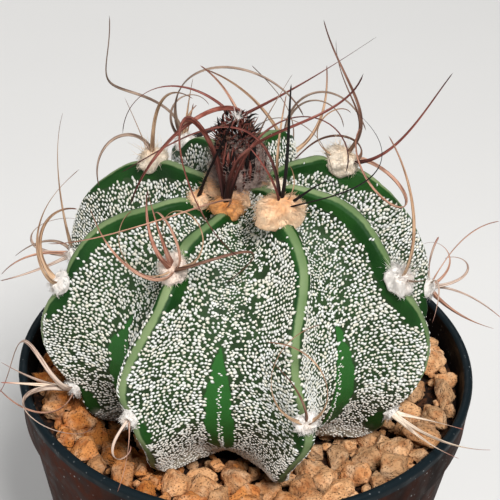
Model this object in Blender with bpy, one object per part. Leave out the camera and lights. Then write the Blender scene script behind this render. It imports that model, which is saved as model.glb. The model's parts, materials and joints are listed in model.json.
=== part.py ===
"""Potted goat horn cactus: a squat, ribbed cactus with woolly areoles and curling spines, standing in
a round pot that is filled with mix and topped with gravel.

Sizes are in millimetres and become metres where a mesh is made. The origin is the centre of the pot's
base, +Z is up, and the front of the plant faces -Y. Angles round the plant are in degrees from -Y and
grow towards +X.
"""
import math
import random
from collections import namedtuple

import bmesh
import bpy
from mathutils import Quaternion, Vector
from mathutils.kdtree import KDTree

MM = 0.001
GAP = 0.3
PLAY = 0.15
SKIN_GAP = 0.33

# Pot
POT_HEIGHT = 100.0
RIM_R = 65.0
LIP_WIDTH = 2.6
COLLAR_HEIGHT = 13.0
COLLAR_TAPER = 1.0
COLLAR_STEP = 1.3
BASE_R = 47.0
WALL = 1.6
FLOOR = 2.2
POT_SIDES = 48
FOOT_ROUND = 0.8
DRAIN_COUNT = 6
DRAIN_R = 4.0
DRAIN_RING_R = 29.0
DRAIN_SIDES = 12

# Potting mix and the bed under the gravel, which is banked up towards the wall
MIX_TOP = 79.0
BED_TOP = 83.0
BANK_RISE = 5.5
BANK_START = 41.0
BANK_END = 56.0
HOLE_R = 18.5
HOLE_SIDES = 24
NECK_END = 62.0
FILL_SIDES = 36

# Gravel lumps
LUMP_SMALL = 2.9
LUMP_LARGE = 6.2
LUMP_HEIGHT = 84.6
LUMP_TRIES = 1500
LUMP_SEED = 5
LUMP_SPACING = 0.76
LUMP_INNER = 0.12
LUMP_UNEVEN = (-0.6, 1.6)
LUMP_CLEAR = 0.5
LUMP_FULLNESS = 0.93
LUMP_WIDTH = (0.72, 0.92)
LUMP_THICKNESS = (0.62, 0.80)
LUMP_TIP = 0.5
LUMP_RINGS = 3
LUMP_SIDES = 5
LUMP_ROUGH = 0.07

# Grid of points on the lower skin that the lumps keep clear of
LOW_START = 0.56
LOW_STEP = 0.01
LOW_ROWS = 32
LOW_HALF_COLUMNS = 8

# Plant
AXIS = (-2.0, -4.0)
LEAN = 4.0
LEAN_TO = -160.0
LEAN_PIVOT = 90.0
RIDGE_HALF = 1.9
RIDGE_DROP = 0.7
FLANK_BULGE = 3.0
BULGE_LOW = 1.25
WAVE = 1.8
WAVE_COUNT = 4.8
NOTCH = 1.8
NOTCH_WIDTH = 0.022
FULL_RADIUS = 40.0
FULL_RIDGE_RADIUS = 14.0

# Stretches of a rib, from 0 at the crown to 1 at the root, over which a trait fades in or out
REACH_FADE = (0.62, 0.78)
LEAN_FADE = (0.68, 0.80)
BULGE_FADE = (0.60, 0.75)
TURN_FADE = (0.10, 0.42)
LIFT_START = (0.0, 0.15)
LIFT_FADE = (0.2, 0.5)
WAVE_START = (0.10, 0.25)

# Grid of the skin: the share of a rib's half that its rounded ridge takes, the columns from groove to
# groove, and the rows from the crown to the root
RIDGE_SHARE = 0.12
COLUMNS = [-1.0, -0.62, -0.30, -0.12, 0.0, 0.12, 0.30, 0.62]
ROWS = [0.027 * k for k in range(2, 26)] + [0.71, 0.75, 0.80, 0.85, 0.90, 0.95]

# Ridge of a rib and groove beside it, from the crown to the root: radius, height
RIDGE_LINE = [
    (0, 160), (5, 161), (10, 163.5), (16, 165.5), (23, 165.5), (31, 162.5), (39, 156.5),
    (46, 148), (52, 137.5), (56, 126), (56, 115), (52, 105.5), (47, 97), (42.5, 90.5),
    (37, 87.2), (29, 87), (21.5, 86), (17.4, 83.2), (17.5, 70), (16, 62), (0, 62),
]
GROOVE_LINE = [
    (0, 160), (4, 159.5), (8, 158.5), (13, 157.5), (19, 155.5), (25, 151.5), (30.5, 146),
    (35, 139), (38, 131), (39.5, 122), (39.5, 113), (37.5, 104.5), (34, 97.5), (29, 92.5),
    (24, 89), (20, 86.8), (17.6, 84.2), (17.5, 80), (17.5, 70), (16, 62), (0, 62),
]

# A rib: its angle, its turn near the crown, its reach, the lift of its crown end, the phase of its
# wave, and the angle of the groove before it
Rib = namedtuple("Rib", "name angle turn reach lift phase groove")
RIBS = [
    Rib("e", -154, 0, 0.98, -3.0, 0.90, -180),
    Rib("d", -120, 2, 1.03, -5.0, 0.60, -138),
    Rib("c", -76, 8, 0.98, -7.0, 0.30, -96),
    Rib("b", -30, 14, 0.98, -6.0, 0.55, -50),
    Rib("a", 19, 14, 1.00, 0.0, 0.76, -6),
    Rib("h", 67, -8, 0.99, -1.0, 0.00, 45),
    Rib("g", 105, -4, 1.00, 0.0, 0.20, 86),
    Rib("f", 161, 0, 0.98, -1.0, 0.50, 130),
]

# An areole: its place along the ridge, and the half sizes of its wool across, along and out
Areole = namedtuple("Areole", "rib place across along out")
AREOLES = {
    "a1": Areole("a", 0.215, 7.2, 5.4, 4.8),
    "a2": Areole("a", 0.480, 3.6, 3.2, 2.6),
    "b1": Areole("b", 0.115, 4.4, 3.8, 3.2),
    "b2": Areole("b", 0.290, 3.8, 4.8, 3.2),
    "b3": Areole("b", 0.500, 2.4, 2.8, 2.2),
    "c1": Areole("c", 0.115, 3.4, 3.2, 2.6),
    "c2": Areole("c", 0.395, 3.2, 3.6, 2.8),
    "c3": Areole("c", 0.580, 2.6, 2.8, 2.2),
    "d1": Areole("d", 0.230, 4.8, 4.2, 3.6),
    "d2": Areole("d", 0.480, 2.6, 2.8, 2.2),
    "e1": Areole("e", 0.270, 3.2, 3.2, 2.6),
    "e2": Areole("e", 0.500, 2.6, 2.8, 2.2),
    "f1": Areole("f", 0.120, 3.2, 3.2, 2.6),
    "f2": Areole("f", 0.360, 3.6, 3.6, 2.8),
    "f3": Areole("f", 0.540, 2.4, 2.6, 2.2),
    "g1": Areole("g", 0.235, 5.4, 4.8, 4.2),
    "g2": Areole("g", 0.480, 3.0, 3.2, 2.6),
    "h1": Areole("h", 0.115, 3.0, 3.0, 2.4),
    "h2": Areole("h", 0.370, 4.4, 4.8, 3.6),
    "h3": Areole("h", 0.585, 2.4, 2.6, 2.0),
}
WOOL_RINGS = 5
WOOL_SIDES = 9
WOOL_RISE = 0.25
WOOL_ROUGH = 0.07
ROOT_RISE = 0.2

# A spine: the way it sets off (angle round and rise), its length, how far it bends and towards which
# side, how much of the bend comes late, how far the bend turns like a corkscrew, and its width
Spine = namedtuple("Spine", "angle rise length bend side late screw width")
SPINES = {
    "a1": [
        (110, 80, 38, 10, 15, -2.5, 10, 1.3),
        (-35, 90, 64, 185, 50, -0.5, 130, 1.0),
        (0, 75, 25, 55, 65, -0.3, -10, 0.9),
        (45, 40, 52, 200, -120, 0.3, 120, 1.1),
        (70, 40, 22, 75, 105, 2.5, -10, 1.2),
        (80, 55, 14, 75, -15, 0.8, 0, 0.8),
    ],
    "a2": [
        (60, 35, 37, 145, -15, -0.2, 70, 0.9),
        (-55, 25, 43, 140, 20, 0.1, -60, 0.9),
        (5, 60, 27, 95, 30, 0.0, 40, 0.8),
    ],
    "b1": [
        (30, 50, 74, 165, 105, -0.1, -40, 0.8),
        (155, 90, 63, 145, 45, 0.4, 190, 1.6),
        (125, 75, 59, 170, 145, 1.0, -60, 1.7),
    ],
    "b2": [
        (-95, 70, 23, 20, 85, 0.2, 0, 1.8),
        (-45, 40, 25, 95, 25, 0.0, 10, 1.4),
        (35, 30, 29, 220, 10, 0.1, -20, 1.2),
        (65, 15, 40, 350, -15, 0.5, 0, 1.1),
        (15, 30, 45, 280, -65, 0.4, -60, 1.2),
        (0, 0, 37, 135, 60, -0.6, -40, 1.3),
        (-35, 0, 32, 175, 35, 0.5, -20, 1.1),
    ],
    "b3": [
        (-45, -40, 20, 230, -175, 1.2, 0, 1.4),
        (10, -35, 20, 25, 90, -0.2, 0, 0.9),
    ],
    "c1": [
        (10, 65, 29, 40, -60, -0.8, 60, 1.5),
    ],
    "c2": [
        (-15, 20, 42, 155, 30, -0.9, -80, 1.1),
    ],
    "c3": [
        (-25, 20, 49, 310, 20, 0.1, 150, 1.5),
        (-70, 20, 22, 5, -140, 1.3, 0, 1.3),
        (-80, 10, 22, 30, 65, -0.6, 10, 1.3),
        (-60, 25, 55, 230, -90, 0.8, 10, 1.5),
        (-5, -15, 31, 125, 45, 0.1, 20, 1.0),
    ],
    "d1": [
        (175, 65, 30, 195, -65, -0.4, 20, 1.4),
    ],
    "d2": [
        (-85, -5, 39, 205, 95, 0.3, 0, 1.3),
        (-95, 5, 23, 60, -130, 0.5, -10, 1.1),
        (-75, -25, 23, 15, 15, 0.3, 0, 1.2),
        (-145, 30, 21, 105, -140, -0.4, 40, 1.1),
    ],
    "e1": [
        (110, 15, 66, 20, -85, -0.3, -10, 1.2),
        (-175, 50, 58, 200, -115, -0.4, 270, 1.1),
        (-160, -20, 65, 130, 160, -0.1, -10, 1.4),
        (-165, 55, 11, 55, 75, 0.3, 0, 1.2),
        (-105, 25, 24, 210, 50, 0.3, 0, 0.9),
        (-95, 60, 65, 190, -20, 0.1, 10, 1.3),
        (170, 75, 18, 10, 140, 0.3, 0, 1.6),
    ],
    "f1": [
        (20, 85, 71, 180, 125, 0.2, -20, 1.7),
        (-90, 65, 43, 185, -15, -0.3, -50, 0.8),
        (-75, 75, 55, 170, 135, 0.3, 40, 1.3),
        (-120, 65, 30, 35, -115, 1.1, -10, 1.2),
        (-5, 70, 27, 70, -55, 0.0, 50, 1.2),
    ],
    "f2": [
        (110, 65, 32, 95, 5, -0.2, -100, 1.0),
        (-150, 35, 45, 195, 25, -0.1, 20, 1.1),
        (-140, 60, 35, 190, 25, 0.5, 0, 0.9),
    ],
    "g1": [
        (-65, 30, 28, 205, -5, 0.9, 0, 0.8),
        (140, -5, 67, 330, 120, -0.1, -70, 1.2),
        (60, -15, 33, 265, -80, -1.1, -20, 1.3),
        (85, 50, 46, 115, 45, -0.3, -160, 1.3),
        (80, 60, 42, 115, 80, 0.1, -210, 0.9),
        (45, 0, 42, 80, -30, -1.5, -30, 1.3),
    ],
    "g2": [
        (-180, 20, 17, 40, 55, 1.0, -10, 1.8),
        (120, 15, 23, 180, -70, 0.8, 0, 0.9),
        (90, 10, 25, 210, -90, 0.9, 10, 1.1),
        (140, 40, 29, 50, 115, 1.2, 0, 1.0),
        (120, -10, 24, 60, 105, -0.6, 20, 0.8),
        (35, -20, 23, 40, -75, -0.2, 10, 1.5),
        (60, 75, 24, 130, 125, -0.5, -20, 0.9),
        (170, 15, 14, 45, -60, -0.4, 10, 1.3),
    ],
    "h2": [
        (45, 20, 9, 25, -40, 1.0, 0, 0.9),
    ],
    "h3": [
        (70, 5, 21, 5, 125, 0.3, 0, 1.4),
        (45, -5, 34, 35, -30, 0.4, 20, 1.3),
        (30, 5, 27, 30, -110, 0.8, 20, 1.5),
    ],
}

# Spines that grow freely: how many an areole has, and the seed that they are drawn from
FREE_SPINES = {
    "c2": (1, 3), "d1": (1, 1), "d2": (1, 1), "e2": (3, 1), "f2": (2, 4), "f3": (3, 2), "h1": (1, 2),
    "h2": (1, 1),
}
SPINE_STEPS = 9
FREE_SWING = 55
FREE_TIP = 35
FREE_LENGTH = (24, 52)
FREE_BEND = (50, 190)
FREE_SIDE = 70
FREE_LATE = (-0.3, 0.5)
FREE_SCREW = 60
FREE_WIDTH = (0.8, 1.4)
SPINE_FLATNESS = 0.65
SPINE_TIP = 0.3

# Crown bud
BUD_R = 6.6
BUD_HEIGHT = 23.0
BUD_SINK = 3.0
BUD_RINGS = 6
BUD_SIDES = 10
BUD_ROUGH = 0.05
BUD_SEED = 8
BUD_SCALES = 31
BUD_COVER = 1.05
SCALE_ROOT = 0.8
SCALE_RISE = 1.2
SCALE_LENGTH = 5.0
SCALE_R = 0.75
SCALE_FLATNESS = 0.6
GOLDEN_TURN = math.pi * (3 - math.sqrt(5))


# Materials
def material(name, color, roughness):
    """A Principled material of one colour."""
    made = bpy.data.materials.new(name)
    made.use_nodes = True
    shader = made.node_tree.nodes["Principled BSDF"]
    shader.inputs["Base Color"].default_value = (*color, 1.0)
    shader.inputs["Roughness"].default_value = roughness
    shader.inputs["Metallic"].default_value = 0.0
    return made


# Meshes
def new_object(name, points, faces, surface=None):
    """An object from points in millimetres and faces given as point numbers."""
    mesh = bpy.data.meshes.new(name)
    mesh.from_pydata([tuple(c * MM for c in p) for p in points], [], faces)
    mesh.validate()
    made = bpy.data.objects.new(name, mesh)
    bpy.context.scene.collection.objects.link(made)
    if surface:
        mesh.materials.append(surface)
    face_outward(made)
    return made


def face_outward(made):
    """Turn every face of a closed mesh outward."""
    work = bmesh.new()
    work.from_mesh(made.data)
    bmesh.ops.recalc_face_normals(work, faces=work.faces)
    work.to_mesh(made.data)
    work.free()


def remove(made):
    """Remove an object with its mesh."""
    mesh = made.data
    bpy.data.objects.remove(made)
    bpy.data.meshes.remove(mesh)


def apply_boolean(target, operation, tools, solver="EXACT"):
    """Join the tools to the target, or cut them from it, in one step, and remove them."""
    group = bpy.data.collections.new("tools")
    bpy.context.scene.collection.children.link(group)
    for tool in tools:
        bpy.context.scene.collection.objects.unlink(tool)
        group.objects.link(tool)
    step = target.modifiers.new("boolean", "BOOLEAN")
    step.operation = operation
    step.operand_type = "COLLECTION"
    step.collection = group
    step.solver = solver
    shaped = target.evaluated_get(bpy.context.evaluated_depsgraph_get())
    mesh = bpy.data.meshes.new_from_object(shaped)
    old = target.data
    target.modifiers.clear()
    target.data = mesh
    bpy.data.meshes.remove(old)
    for tool in tools:
        remove(tool)
    bpy.data.collections.remove(group)


def keep_largest(made):
    """Drop loose scraps, so that the mesh is one body."""
    work = bmesh.new()
    work.from_mesh(made.data)
    left = set(work.verts)
    bodies = []
    while left:
        start = left.pop()
        body = {start}
        edge = [start]
        while edge:
            vert = edge.pop()
            for link in vert.link_edges:
                other = link.other_vert(vert)
                if other in left:
                    left.remove(other)
                    body.add(other)
                    edge.append(other)
        bodies.append(body)
    bodies.sort(key=len)
    scraps = [vert for body in bodies[:-1] for vert in body]
    bmesh.ops.delete(work, geom=scraps, context="VERTS")
    work.to_mesh(made.data)
    work.free()


def turned(name, profile, sides, surface):
    """A closed solid of revolution from a profile of (radius, height) that starts and ends on the axis."""
    points = [(0.0, 0.0, profile[0][1])]
    faces = []
    rings = profile[1:-1]
    for radius, height in rings:
        for k in range(sides):
            turn = 2 * math.pi * k / sides
            points.append((radius * math.sin(turn), -radius * math.cos(turn), height))
    last = len(points)
    points.append((0.0, 0.0, profile[-1][1]))
    for k in range(sides):
        after = (k + 1) % sides
        faces.append((0, 1 + after, 1 + k))
        for row in range(len(rings) - 1):
            low = 1 + row * sides
            high = low + sides
            faces.append((low + k, low + after, high + after, high + k))
        top = 1 + (len(rings) - 1) * sides
        faces.append((top + k, top + after, last))
    return new_object(name, points, faces, surface)


def lumpy_ball(name, centre, axes, rings, sides, rough, rng, surface=None):
    """A ball with three half axes, given as vectors, whose points are pushed in or out at random."""
    points = []
    faces = []

    def place(x, y, z):
        swell = 1.0 + rough * rng.uniform(-1.0, 1.0)
        return centre + swell * (x * axes[0] + y * axes[1] + z * axes[2])

    points.append(place(0, 0, -1))
    for row in range(1, rings):
        polar = math.pi * row / rings
        for k in range(sides):
            turn = 2 * math.pi * (k + 0.5 * (row % 2)) / sides
            wide = math.sin(polar)
            points.append(place(wide * math.cos(turn), wide * math.sin(turn), -math.cos(polar)))
    last = len(points)
    points.append(place(0, 0, 1))
    for k in range(sides):
        after = (k + 1) % sides
        faces.append((0, 1 + after, 1 + k))
        for row in range(rings - 2):
            low = 1 + row * sides
            faces.append((low + k, low + after, low + sides + after))
            faces.append((low + k, low + sides + after, low + sides + k))
        top = 1 + (rings - 2) * sides
        faces.append((top + k, top + after, last))
    return new_object(name, points, faces, surface)


# Shape of the plant
def spline(line, place):
    """The point at a place from 0 to 1 on a smooth curve through the points of a line."""
    count = len(line) - 1
    scaled = min(max(place, 0.0), 1.0) * count
    first = min(int(scaled), count - 1)
    part = scaled - first
    before = line[max(first - 1, 0)]
    start = line[first]
    end = line[first + 1]
    after = line[min(first + 2, count)]
    values = []
    for p, q, r, s in zip(before, start, end, after):
        square = (2 * p - 5 * q + 4 * r - s) * part ** 2
        cube = (3 * q - p - 3 * r + s) * part ** 3
        values.append(0.5 * (2 * q + (r - p) * part + square + cube))
    return tuple(values)


def ease(low, high, value):
    """0 below low, 1 above high and a smooth step between them."""
    part = min(max((value - low) / (high - low), 0.0), 1.0)
    return part * part * (3 - 2 * part)


def leaned(point, place):
    """Lean a point with the plant, which stands straight again where it enters the mix."""
    heading = math.radians(LEAN_TO)
    tilt = math.radians(LEAN) * (1 - ease(*LEAN_FADE, place))
    towards = Vector((math.sin(heading), -math.cos(heading), 0.0))
    along = point.dot(towards)
    height = point.z - LEAN_PIVOT
    moved = point + towards * (along * math.cos(tilt) + height * math.sin(tilt) - along)
    moved.z = LEAN_PIVOT + height * math.cos(tilt) - along * math.sin(tilt)
    return moved + Vector((*AXIS, 0.0))


def lifted(place):
    """How much of a rib's lift is there: none in the middle of the crown, none low on the plant."""
    return ease(*LIFT_START, place) * (1 - ease(*LIFT_FADE, place))


def notch(rib, place):
    """How deep the ridge dips at its areoles."""
    stations = [a.place for a in AREOLES.values() if a.rib == rib.name]
    return NOTCH * sum(math.exp(-((place - s) / NOTCH_WIDTH) ** 2) for s in stations)


def ridge_point(rib, place):
    """A point of a rib's ridge."""
    radius, height = spline(RIDGE_LINE, place)
    above = 1 - ease(*REACH_FADE, place)
    radius *= 1 + (rib.reach - 1) * above
    height += rib.lift * lifted(place)
    turn = math.radians(rib.angle + rib.turn * (1 - ease(*TURN_FADE, place)))
    wave = WAVE * math.sin(2 * math.pi * (WAVE_COUNT * place + rib.phase))
    wave *= ease(*WAVE_START, place) * above
    outward = Vector((math.sin(turn), -math.cos(turn), 0.0))
    sideways = Vector((math.cos(turn), math.sin(turn), 0.0))
    return leaned(outward * radius + sideways * wave + Vector((0, 0, height)), place)


def groove_point(before, rib, place):
    """A point of the groove between a rib and the one before it."""
    radius, height = spline(GROOVE_LINE, place)
    above = 1 - ease(*REACH_FADE, place)
    radius *= 1 + ((before.reach + rib.reach) / 2 - 1) * above
    height += (before.lift + rib.lift) / 2 * lifted(place)
    turn = math.radians(rib.groove + (before.turn + rib.turn) / 2 * (1 - ease(*TURN_FADE, place)))
    outward = Vector((math.sin(turn), -math.cos(turn), 0.0))
    return leaned(outward * radius + Vector((0, 0, height)), place)


def ridge_frame(rib, place):
    """The ridge's point with its outward, sideways and downward directions."""
    step = 0.004
    point = ridge_point(rib, place)
    below = ridge_point(rib, min(place + step, 1.0))
    down = (below - ridge_point(rib, max(place - step, 0.0))).normalized()
    turn = math.radians(rib.angle + rib.turn * (1 - ease(*TURN_FADE, place)))
    side = Vector((math.cos(turn), math.sin(turn), 0.0))
    side = (side - down * side.dot(down)).normalized()
    out = down.cross(side).normalized()
    return point - out * notch(rib, place), out, side, down


def skin_point(number, across, place):
    """A point of the plant's skin. Across runs from -1 at the groove before the rib, over 0 at its ridge,
    to 1 at the groove after it."""
    rib = RIBS[number]
    ridge, out, side, down = ridge_frame(rib, place)
    radius = spline(RIDGE_LINE, place)[0]
    half = RIDGE_HALF * min(1.0, radius / FULL_RIDGE_RADIUS)
    reach = min(abs(across) / RIDGE_SHARE, 1.0)
    hand = 1.0 if across > 0 else -1.0
    shoulder = ridge + side * hand * half * reach - out * RIDGE_DROP * reach ** 2
    if abs(across) <= RIDGE_SHARE:
        return shoulder
    if hand < 0:
        groove = groove_point(RIBS[number - 1], rib, place)
    else:
        after = RIBS[(number + 1) % len(RIBS)]
        groove = groove_point(rib, after, place)
    part = (abs(across) - RIDGE_SHARE) / (1 - RIDGE_SHARE)
    run = groove - shoulder
    swell = run.cross(down) * hand
    swell = swell.normalized() if swell.length > 1e-6 else out
    bulge = FLANK_BULGE * min(1.0, radius / FULL_RADIUS) * (1 - ease(*BULGE_FADE, place))
    return shoulder + run * part + swell * bulge * math.sin(math.pi * part ** BULGE_LOW)


def plant_body(name, surface):
    """The ribbed body with its neck, in one closed skin."""
    around = [(number, across) for number in range(len(RIBS)) for across in COLUMNS]
    points = [ridge_point(RIBS[0], 0.0)]
    for place in ROWS:
        points += [skin_point(number, across, place) for number, across in around]
    last = len(points)
    points.append(ridge_point(RIBS[0], 1.0))
    faces = []
    count = len(around)
    for k in range(count):
        after = (k + 1) % count
        faces.append((0, 1 + k, 1 + after))
        for row in range(len(ROWS) - 1):
            low = 1 + row * count
            faces.append((low + k, low + count + k, low + count + after, low + after))
        end = 1 + (len(ROWS) - 1) * count
        faces.append((end + after, end + k, last))
    return new_object(name, points, faces, surface)


def grown(body, amount):
    """A copy of a body whose skin is pushed out by an amount."""
    mesh = body.data.copy()
    normals = [v.normal.copy() for v in mesh.vertices]
    for vert, normal in zip(mesh.vertices, normals):
        vert.co += normal * amount * MM
    made = bpy.data.objects.new("grown", mesh)
    bpy.context.scene.collection.objects.link(made)
    return made


def cut_clear(made, cutter, solver="EXACT"):
    """Cut a piece so that it lies on the plant and leaves the cutter whole."""
    apply_boolean(made, "DIFFERENCE", [grown(cutter, 0.0)], solver)
    keep_largest(made)


# Pot and fill
def inner_radius(height):
    """Radius of the pot's inside at a height."""
    collar = POT_HEIGHT - COLLAR_HEIGHT
    wall_top = RIM_R - COLLAR_TAPER - COLLAR_STEP - WALL
    wall_base = BASE_R - WALL
    if height <= collar:
        return wall_base + (wall_top - wall_base) * height / collar
    return wall_top + (RIM_R - LIP_WIDTH - wall_top) * (height - collar) / COLLAR_HEIGHT


def pot(surface):
    """The round pot with its rolled lip, its collar and the drain holes in its floor."""
    collar = POT_HEIGHT - COLLAR_HEIGHT
    skirt_r = RIM_R - COLLAR_TAPER
    lip_r = LIP_WIDTH / 2
    profile = [(0, 0), (BASE_R - FOOT_ROUND, 0), (BASE_R, FOOT_ROUND)]
    profile += [(skirt_r - COLLAR_STEP, collar - 0.6), (skirt_r, collar)]
    for turn in (0, 45, 90, 135, 180):
        across = lip_r * math.cos(math.radians(turn))
        above = lip_r * math.sin(math.radians(turn))
        profile.append((RIM_R - lip_r + across, POT_HEIGHT - lip_r + above))
    profile += [(inner_radius(collar), collar), (inner_radius(FLOOR), FLOOR), (0, FLOOR)]
    made = turned("pot", profile, POT_SIDES, surface)
    drills = []
    for k in range(DRAIN_COUNT):
        turn = 2 * math.pi * (k + 0.5) / DRAIN_COUNT
        rod = [(0, -1), (DRAIN_R, -1), (DRAIN_R, FLOOR + 1), (0, FLOOR + 1)]
        drill = turned("drill", rod, DRAIN_SIDES, None)
        drill.location = Vector((math.sin(turn), math.cos(turn), 0)) * DRAIN_RING_R * MM
        drills.append(drill)
    apply_boolean(made, "DIFFERENCE", drills)
    return made


def bored(name, profile, surface):
    """A filling of the pot, from a profile without its end on the axis, with a hole for the neck."""
    low = profile[0][1]
    high = profile[-1][1]
    made = turned(name, [(0, low)] + profile + [(0, high)], FILL_SIDES, surface)
    floor = max(NECK_END - GAP, low - 1)
    rod = [(0, floor), (HOLE_R, floor), (HOLE_R, high + 1), (0, high + 1)]
    drill = turned("drill", rod, HOLE_SIDES, None)
    drill.location = Vector((*AXIS, 0)) * MM
    apply_boolean(made, "DIFFERENCE", [drill])
    return made


def fill_radius(height):
    """Radius of a filling at a height, just clear of the pot's wall."""
    return inner_radius(height) - GAP - PLAY


def bank(far):
    """How far the gravel is banked up at a distance from the pot's axis."""
    return BANK_RISE * ease(BANK_START, BANK_END, far)


def potting_mix(surface):
    """The mix under the gravel, up to the wall."""
    low = FLOOR + GAP
    profile = [(fill_radius(low), low), (fill_radius(MIX_TOP), MIX_TOP)]
    return bored("potting_mix", profile, surface)


def lump_spots():
    """Centres and half sizes of the gravel lumps: as many as fit between the pot and the plant's skin."""
    rng = random.Random(LUMP_SEED)
    low_skin = [
        skin_point(number, -1 + step / LOW_HALF_COLUMNS, LOW_START + LOW_STEP * row)
        for number in range(len(RIBS)) for step in range(2 * LOW_HALF_COLUMNS) for row in range(LOW_ROWS)
    ]
    tree = KDTree(len(low_skin))
    for number, point in enumerate(low_skin):
        tree.insert(point, number)
    tree.balance()
    spots = []
    for attempt in range(LUMP_TRIES):
        size = LUMP_LARGE - (LUMP_LARGE - LUMP_SMALL) * attempt / LUMP_TRIES
        turn = rng.uniform(0, 2 * math.pi)
        far = math.sqrt(rng.uniform(LUMP_INNER, 1.0)) * (inner_radius(BED_TOP) - GAP - size)
        height = LUMP_HEIGHT + bank(far) + rng.uniform(*LUMP_UNEVEN)
        centre = Vector((far * math.sin(turn), -far * math.cos(turn), height))
        if tree.find(centre)[2] < size + GAP + LUMP_CLEAR:
            continue
        if any((centre - other).length < LUMP_SPACING * (size + width) for other, width in spots):
            continue
        spots.append((centre, size))
    return spots


def lump_axes(size, rng):
    """Half axes of a lump: longer than wide and wider than high, turned at random."""
    spin = Quaternion((0, 0, 1), rng.uniform(0, 2 * math.pi))
    tip = Quaternion((1, 0, 0), rng.uniform(-LUMP_TIP, LUMP_TIP))
    turn = spin @ tip
    across = Vector((0, size * rng.uniform(*LUMP_WIDTH), 0))
    up = Vector((0, 0, size * rng.uniform(*LUMP_THICKNESS)))
    return [turn @ Vector((size, 0, 0)), turn @ across, turn @ up]


def gravel(surface):
    """The bed and the lumps that lie on it, grown into one body."""
    low = MIX_TOP + GAP
    edge = BED_TOP + BANK_RISE
    profile = [(fill_radius(low), low), (fill_radius(edge), edge), (BANK_END, edge), (BANK_START, BED_TOP)]
    made = bored("gravel", profile, surface)
    rng = random.Random(LUMP_SEED + 1)
    lumps = []
    for centre, size in lump_spots():
        axes = lump_axes(size * LUMP_FULLNESS, rng)
        lumps.append(lumpy_ball("lump", centre, axes, LUMP_RINGS, LUMP_SIDES, LUMP_ROUGH, rng))
    apply_boolean(made, "UNION", lumps)
    keep_largest(made)
    return made


# Areoles and crown
def wool_frame(key):
    """Middle of an areole's wool, with its half axes across the ridge, along it and out of it."""
    areole = AREOLES[key]
    rib = next(r for r in RIBS if r.name == areole.rib)
    point, out, side, down = ridge_frame(rib, areole.place)
    centre = point + out * areole.out * WOOL_RISE
    return centre, side * areole.across, down * areole.along, out * areole.out


def spines_of(key):
    """The spines of an areole: those set out one by one, then those that grow freely."""
    spines = [Spine(*values) for values in SPINES.get(key, [])]
    count, seed = FREE_SPINES.get(key, (0, 0))
    rng = random.Random(seed)
    out = wool_frame(key)[3].normalized()
    for _ in range(count):
        angle = math.degrees(math.atan2(out.x, -out.y)) + rng.uniform(-FREE_SWING, FREE_SWING)
        rise = min(math.degrees(math.asin(out.z)) + rng.uniform(-FREE_TIP, FREE_TIP), 85)
        length = rng.uniform(*FREE_LENGTH)
        bend = rng.uniform(*FREE_BEND)
        side = rng.uniform(-FREE_SIDE, FREE_SIDE)
        late = rng.uniform(*FREE_LATE)
        screw = rng.uniform(-FREE_SCREW, FREE_SCREW)
        spines.append(Spine(angle, rise, length, bend, side, late, screw, rng.uniform(*FREE_WIDTH)))
    return spines


def spine_path(root, spine, steps):
    """Points along a spine, from its root to its tip."""
    turn = math.radians(spine.angle)
    rise = math.radians(spine.rise)
    ahead = Vector((math.sin(turn) * math.cos(rise), -math.cos(turn) * math.cos(rise), math.sin(rise)))
    up = Vector((-math.sin(turn) * math.sin(rise), math.cos(turn) * math.sin(rise), math.cos(rise)))
    curl = Quaternion(ahead, math.radians(spine.side)) @ up
    points = [root.copy()]
    fine = 4 * steps
    for k in range(fine):
        part = (k + 0.5) / fine
        bend = math.radians(spine.bend) / fine * (1 + spine.late * (2 * part - 1))
        axis = ahead.cross(curl).normalized()
        ahead = (Quaternion(axis, bend) @ ahead).normalized()
        curl = Quaternion(axis, bend) @ curl
        curl = (Quaternion(ahead, math.radians(spine.screw) / fine) @ curl).normalized()
        root = root + ahead * spine.length / fine
        if (k + 1) % 4 == 0:
            points.append(root.copy())
    return points


def spine_solid(name, path, width):
    """A flat, three-sided blade along a path, drawn out to a point."""
    points = []
    faces = []
    last = len(path) - 1
    side = None
    for k, point in enumerate(path[:-1]):
        ahead = (path[k + 1] - path[max(k - 1, 0)]).normalized()
        side = ahead.orthogonal() if side is None else side - ahead * side.dot(ahead)
        side.normalize()
        over = ahead.cross(side)
        taper = 1 - (1 - SPINE_TIP) * (k / last) ** 1.5
        wide = side * width * taper / 2
        high = over * width * SPINE_FLATNESS * taper / 2
        points += [point + wide - high, point + high, point - wide - high]
    points.append(path[-1])
    for k in range(last - 1):
        for corner in range(3):
            after = (corner + 1) % 3
            low = 3 * k
            faces.append((low + corner, low + after, low + 3 + after))
            faces.append((low + corner, low + 3 + after, low + 3 + corner))
    faces.append((2, 1, 0))
    tip = 3 * (last - 1)
    faces += [(tip, tip + 1, 3 * last), (tip + 1, tip + 2, 3 * last), (tip + 2, tip, 3 * last)]
    return new_object(name, points, faces)


def areole(key, surface, cutter):
    """A cushion of wool over the ridge with its spines, cut to lie on the skin."""
    centre, across, along, out = wool_frame(key)
    rng = random.Random(key)
    axes = [across, along, out]
    made = lumpy_ball("areole_" + key, centre, axes, WOOL_RINGS, WOOL_SIDES, WOOL_ROUGH, rng, surface)
    root = centre + out * ROOT_RISE
    spines = []
    for spine in spines_of(key):
        spines.append(spine_solid("spine", spine_path(root, spine, SPINE_STEPS), spine.width))
    apply_boolean(made, "UNION", spines)
    cut_clear(made, cutter)
    return made


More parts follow.
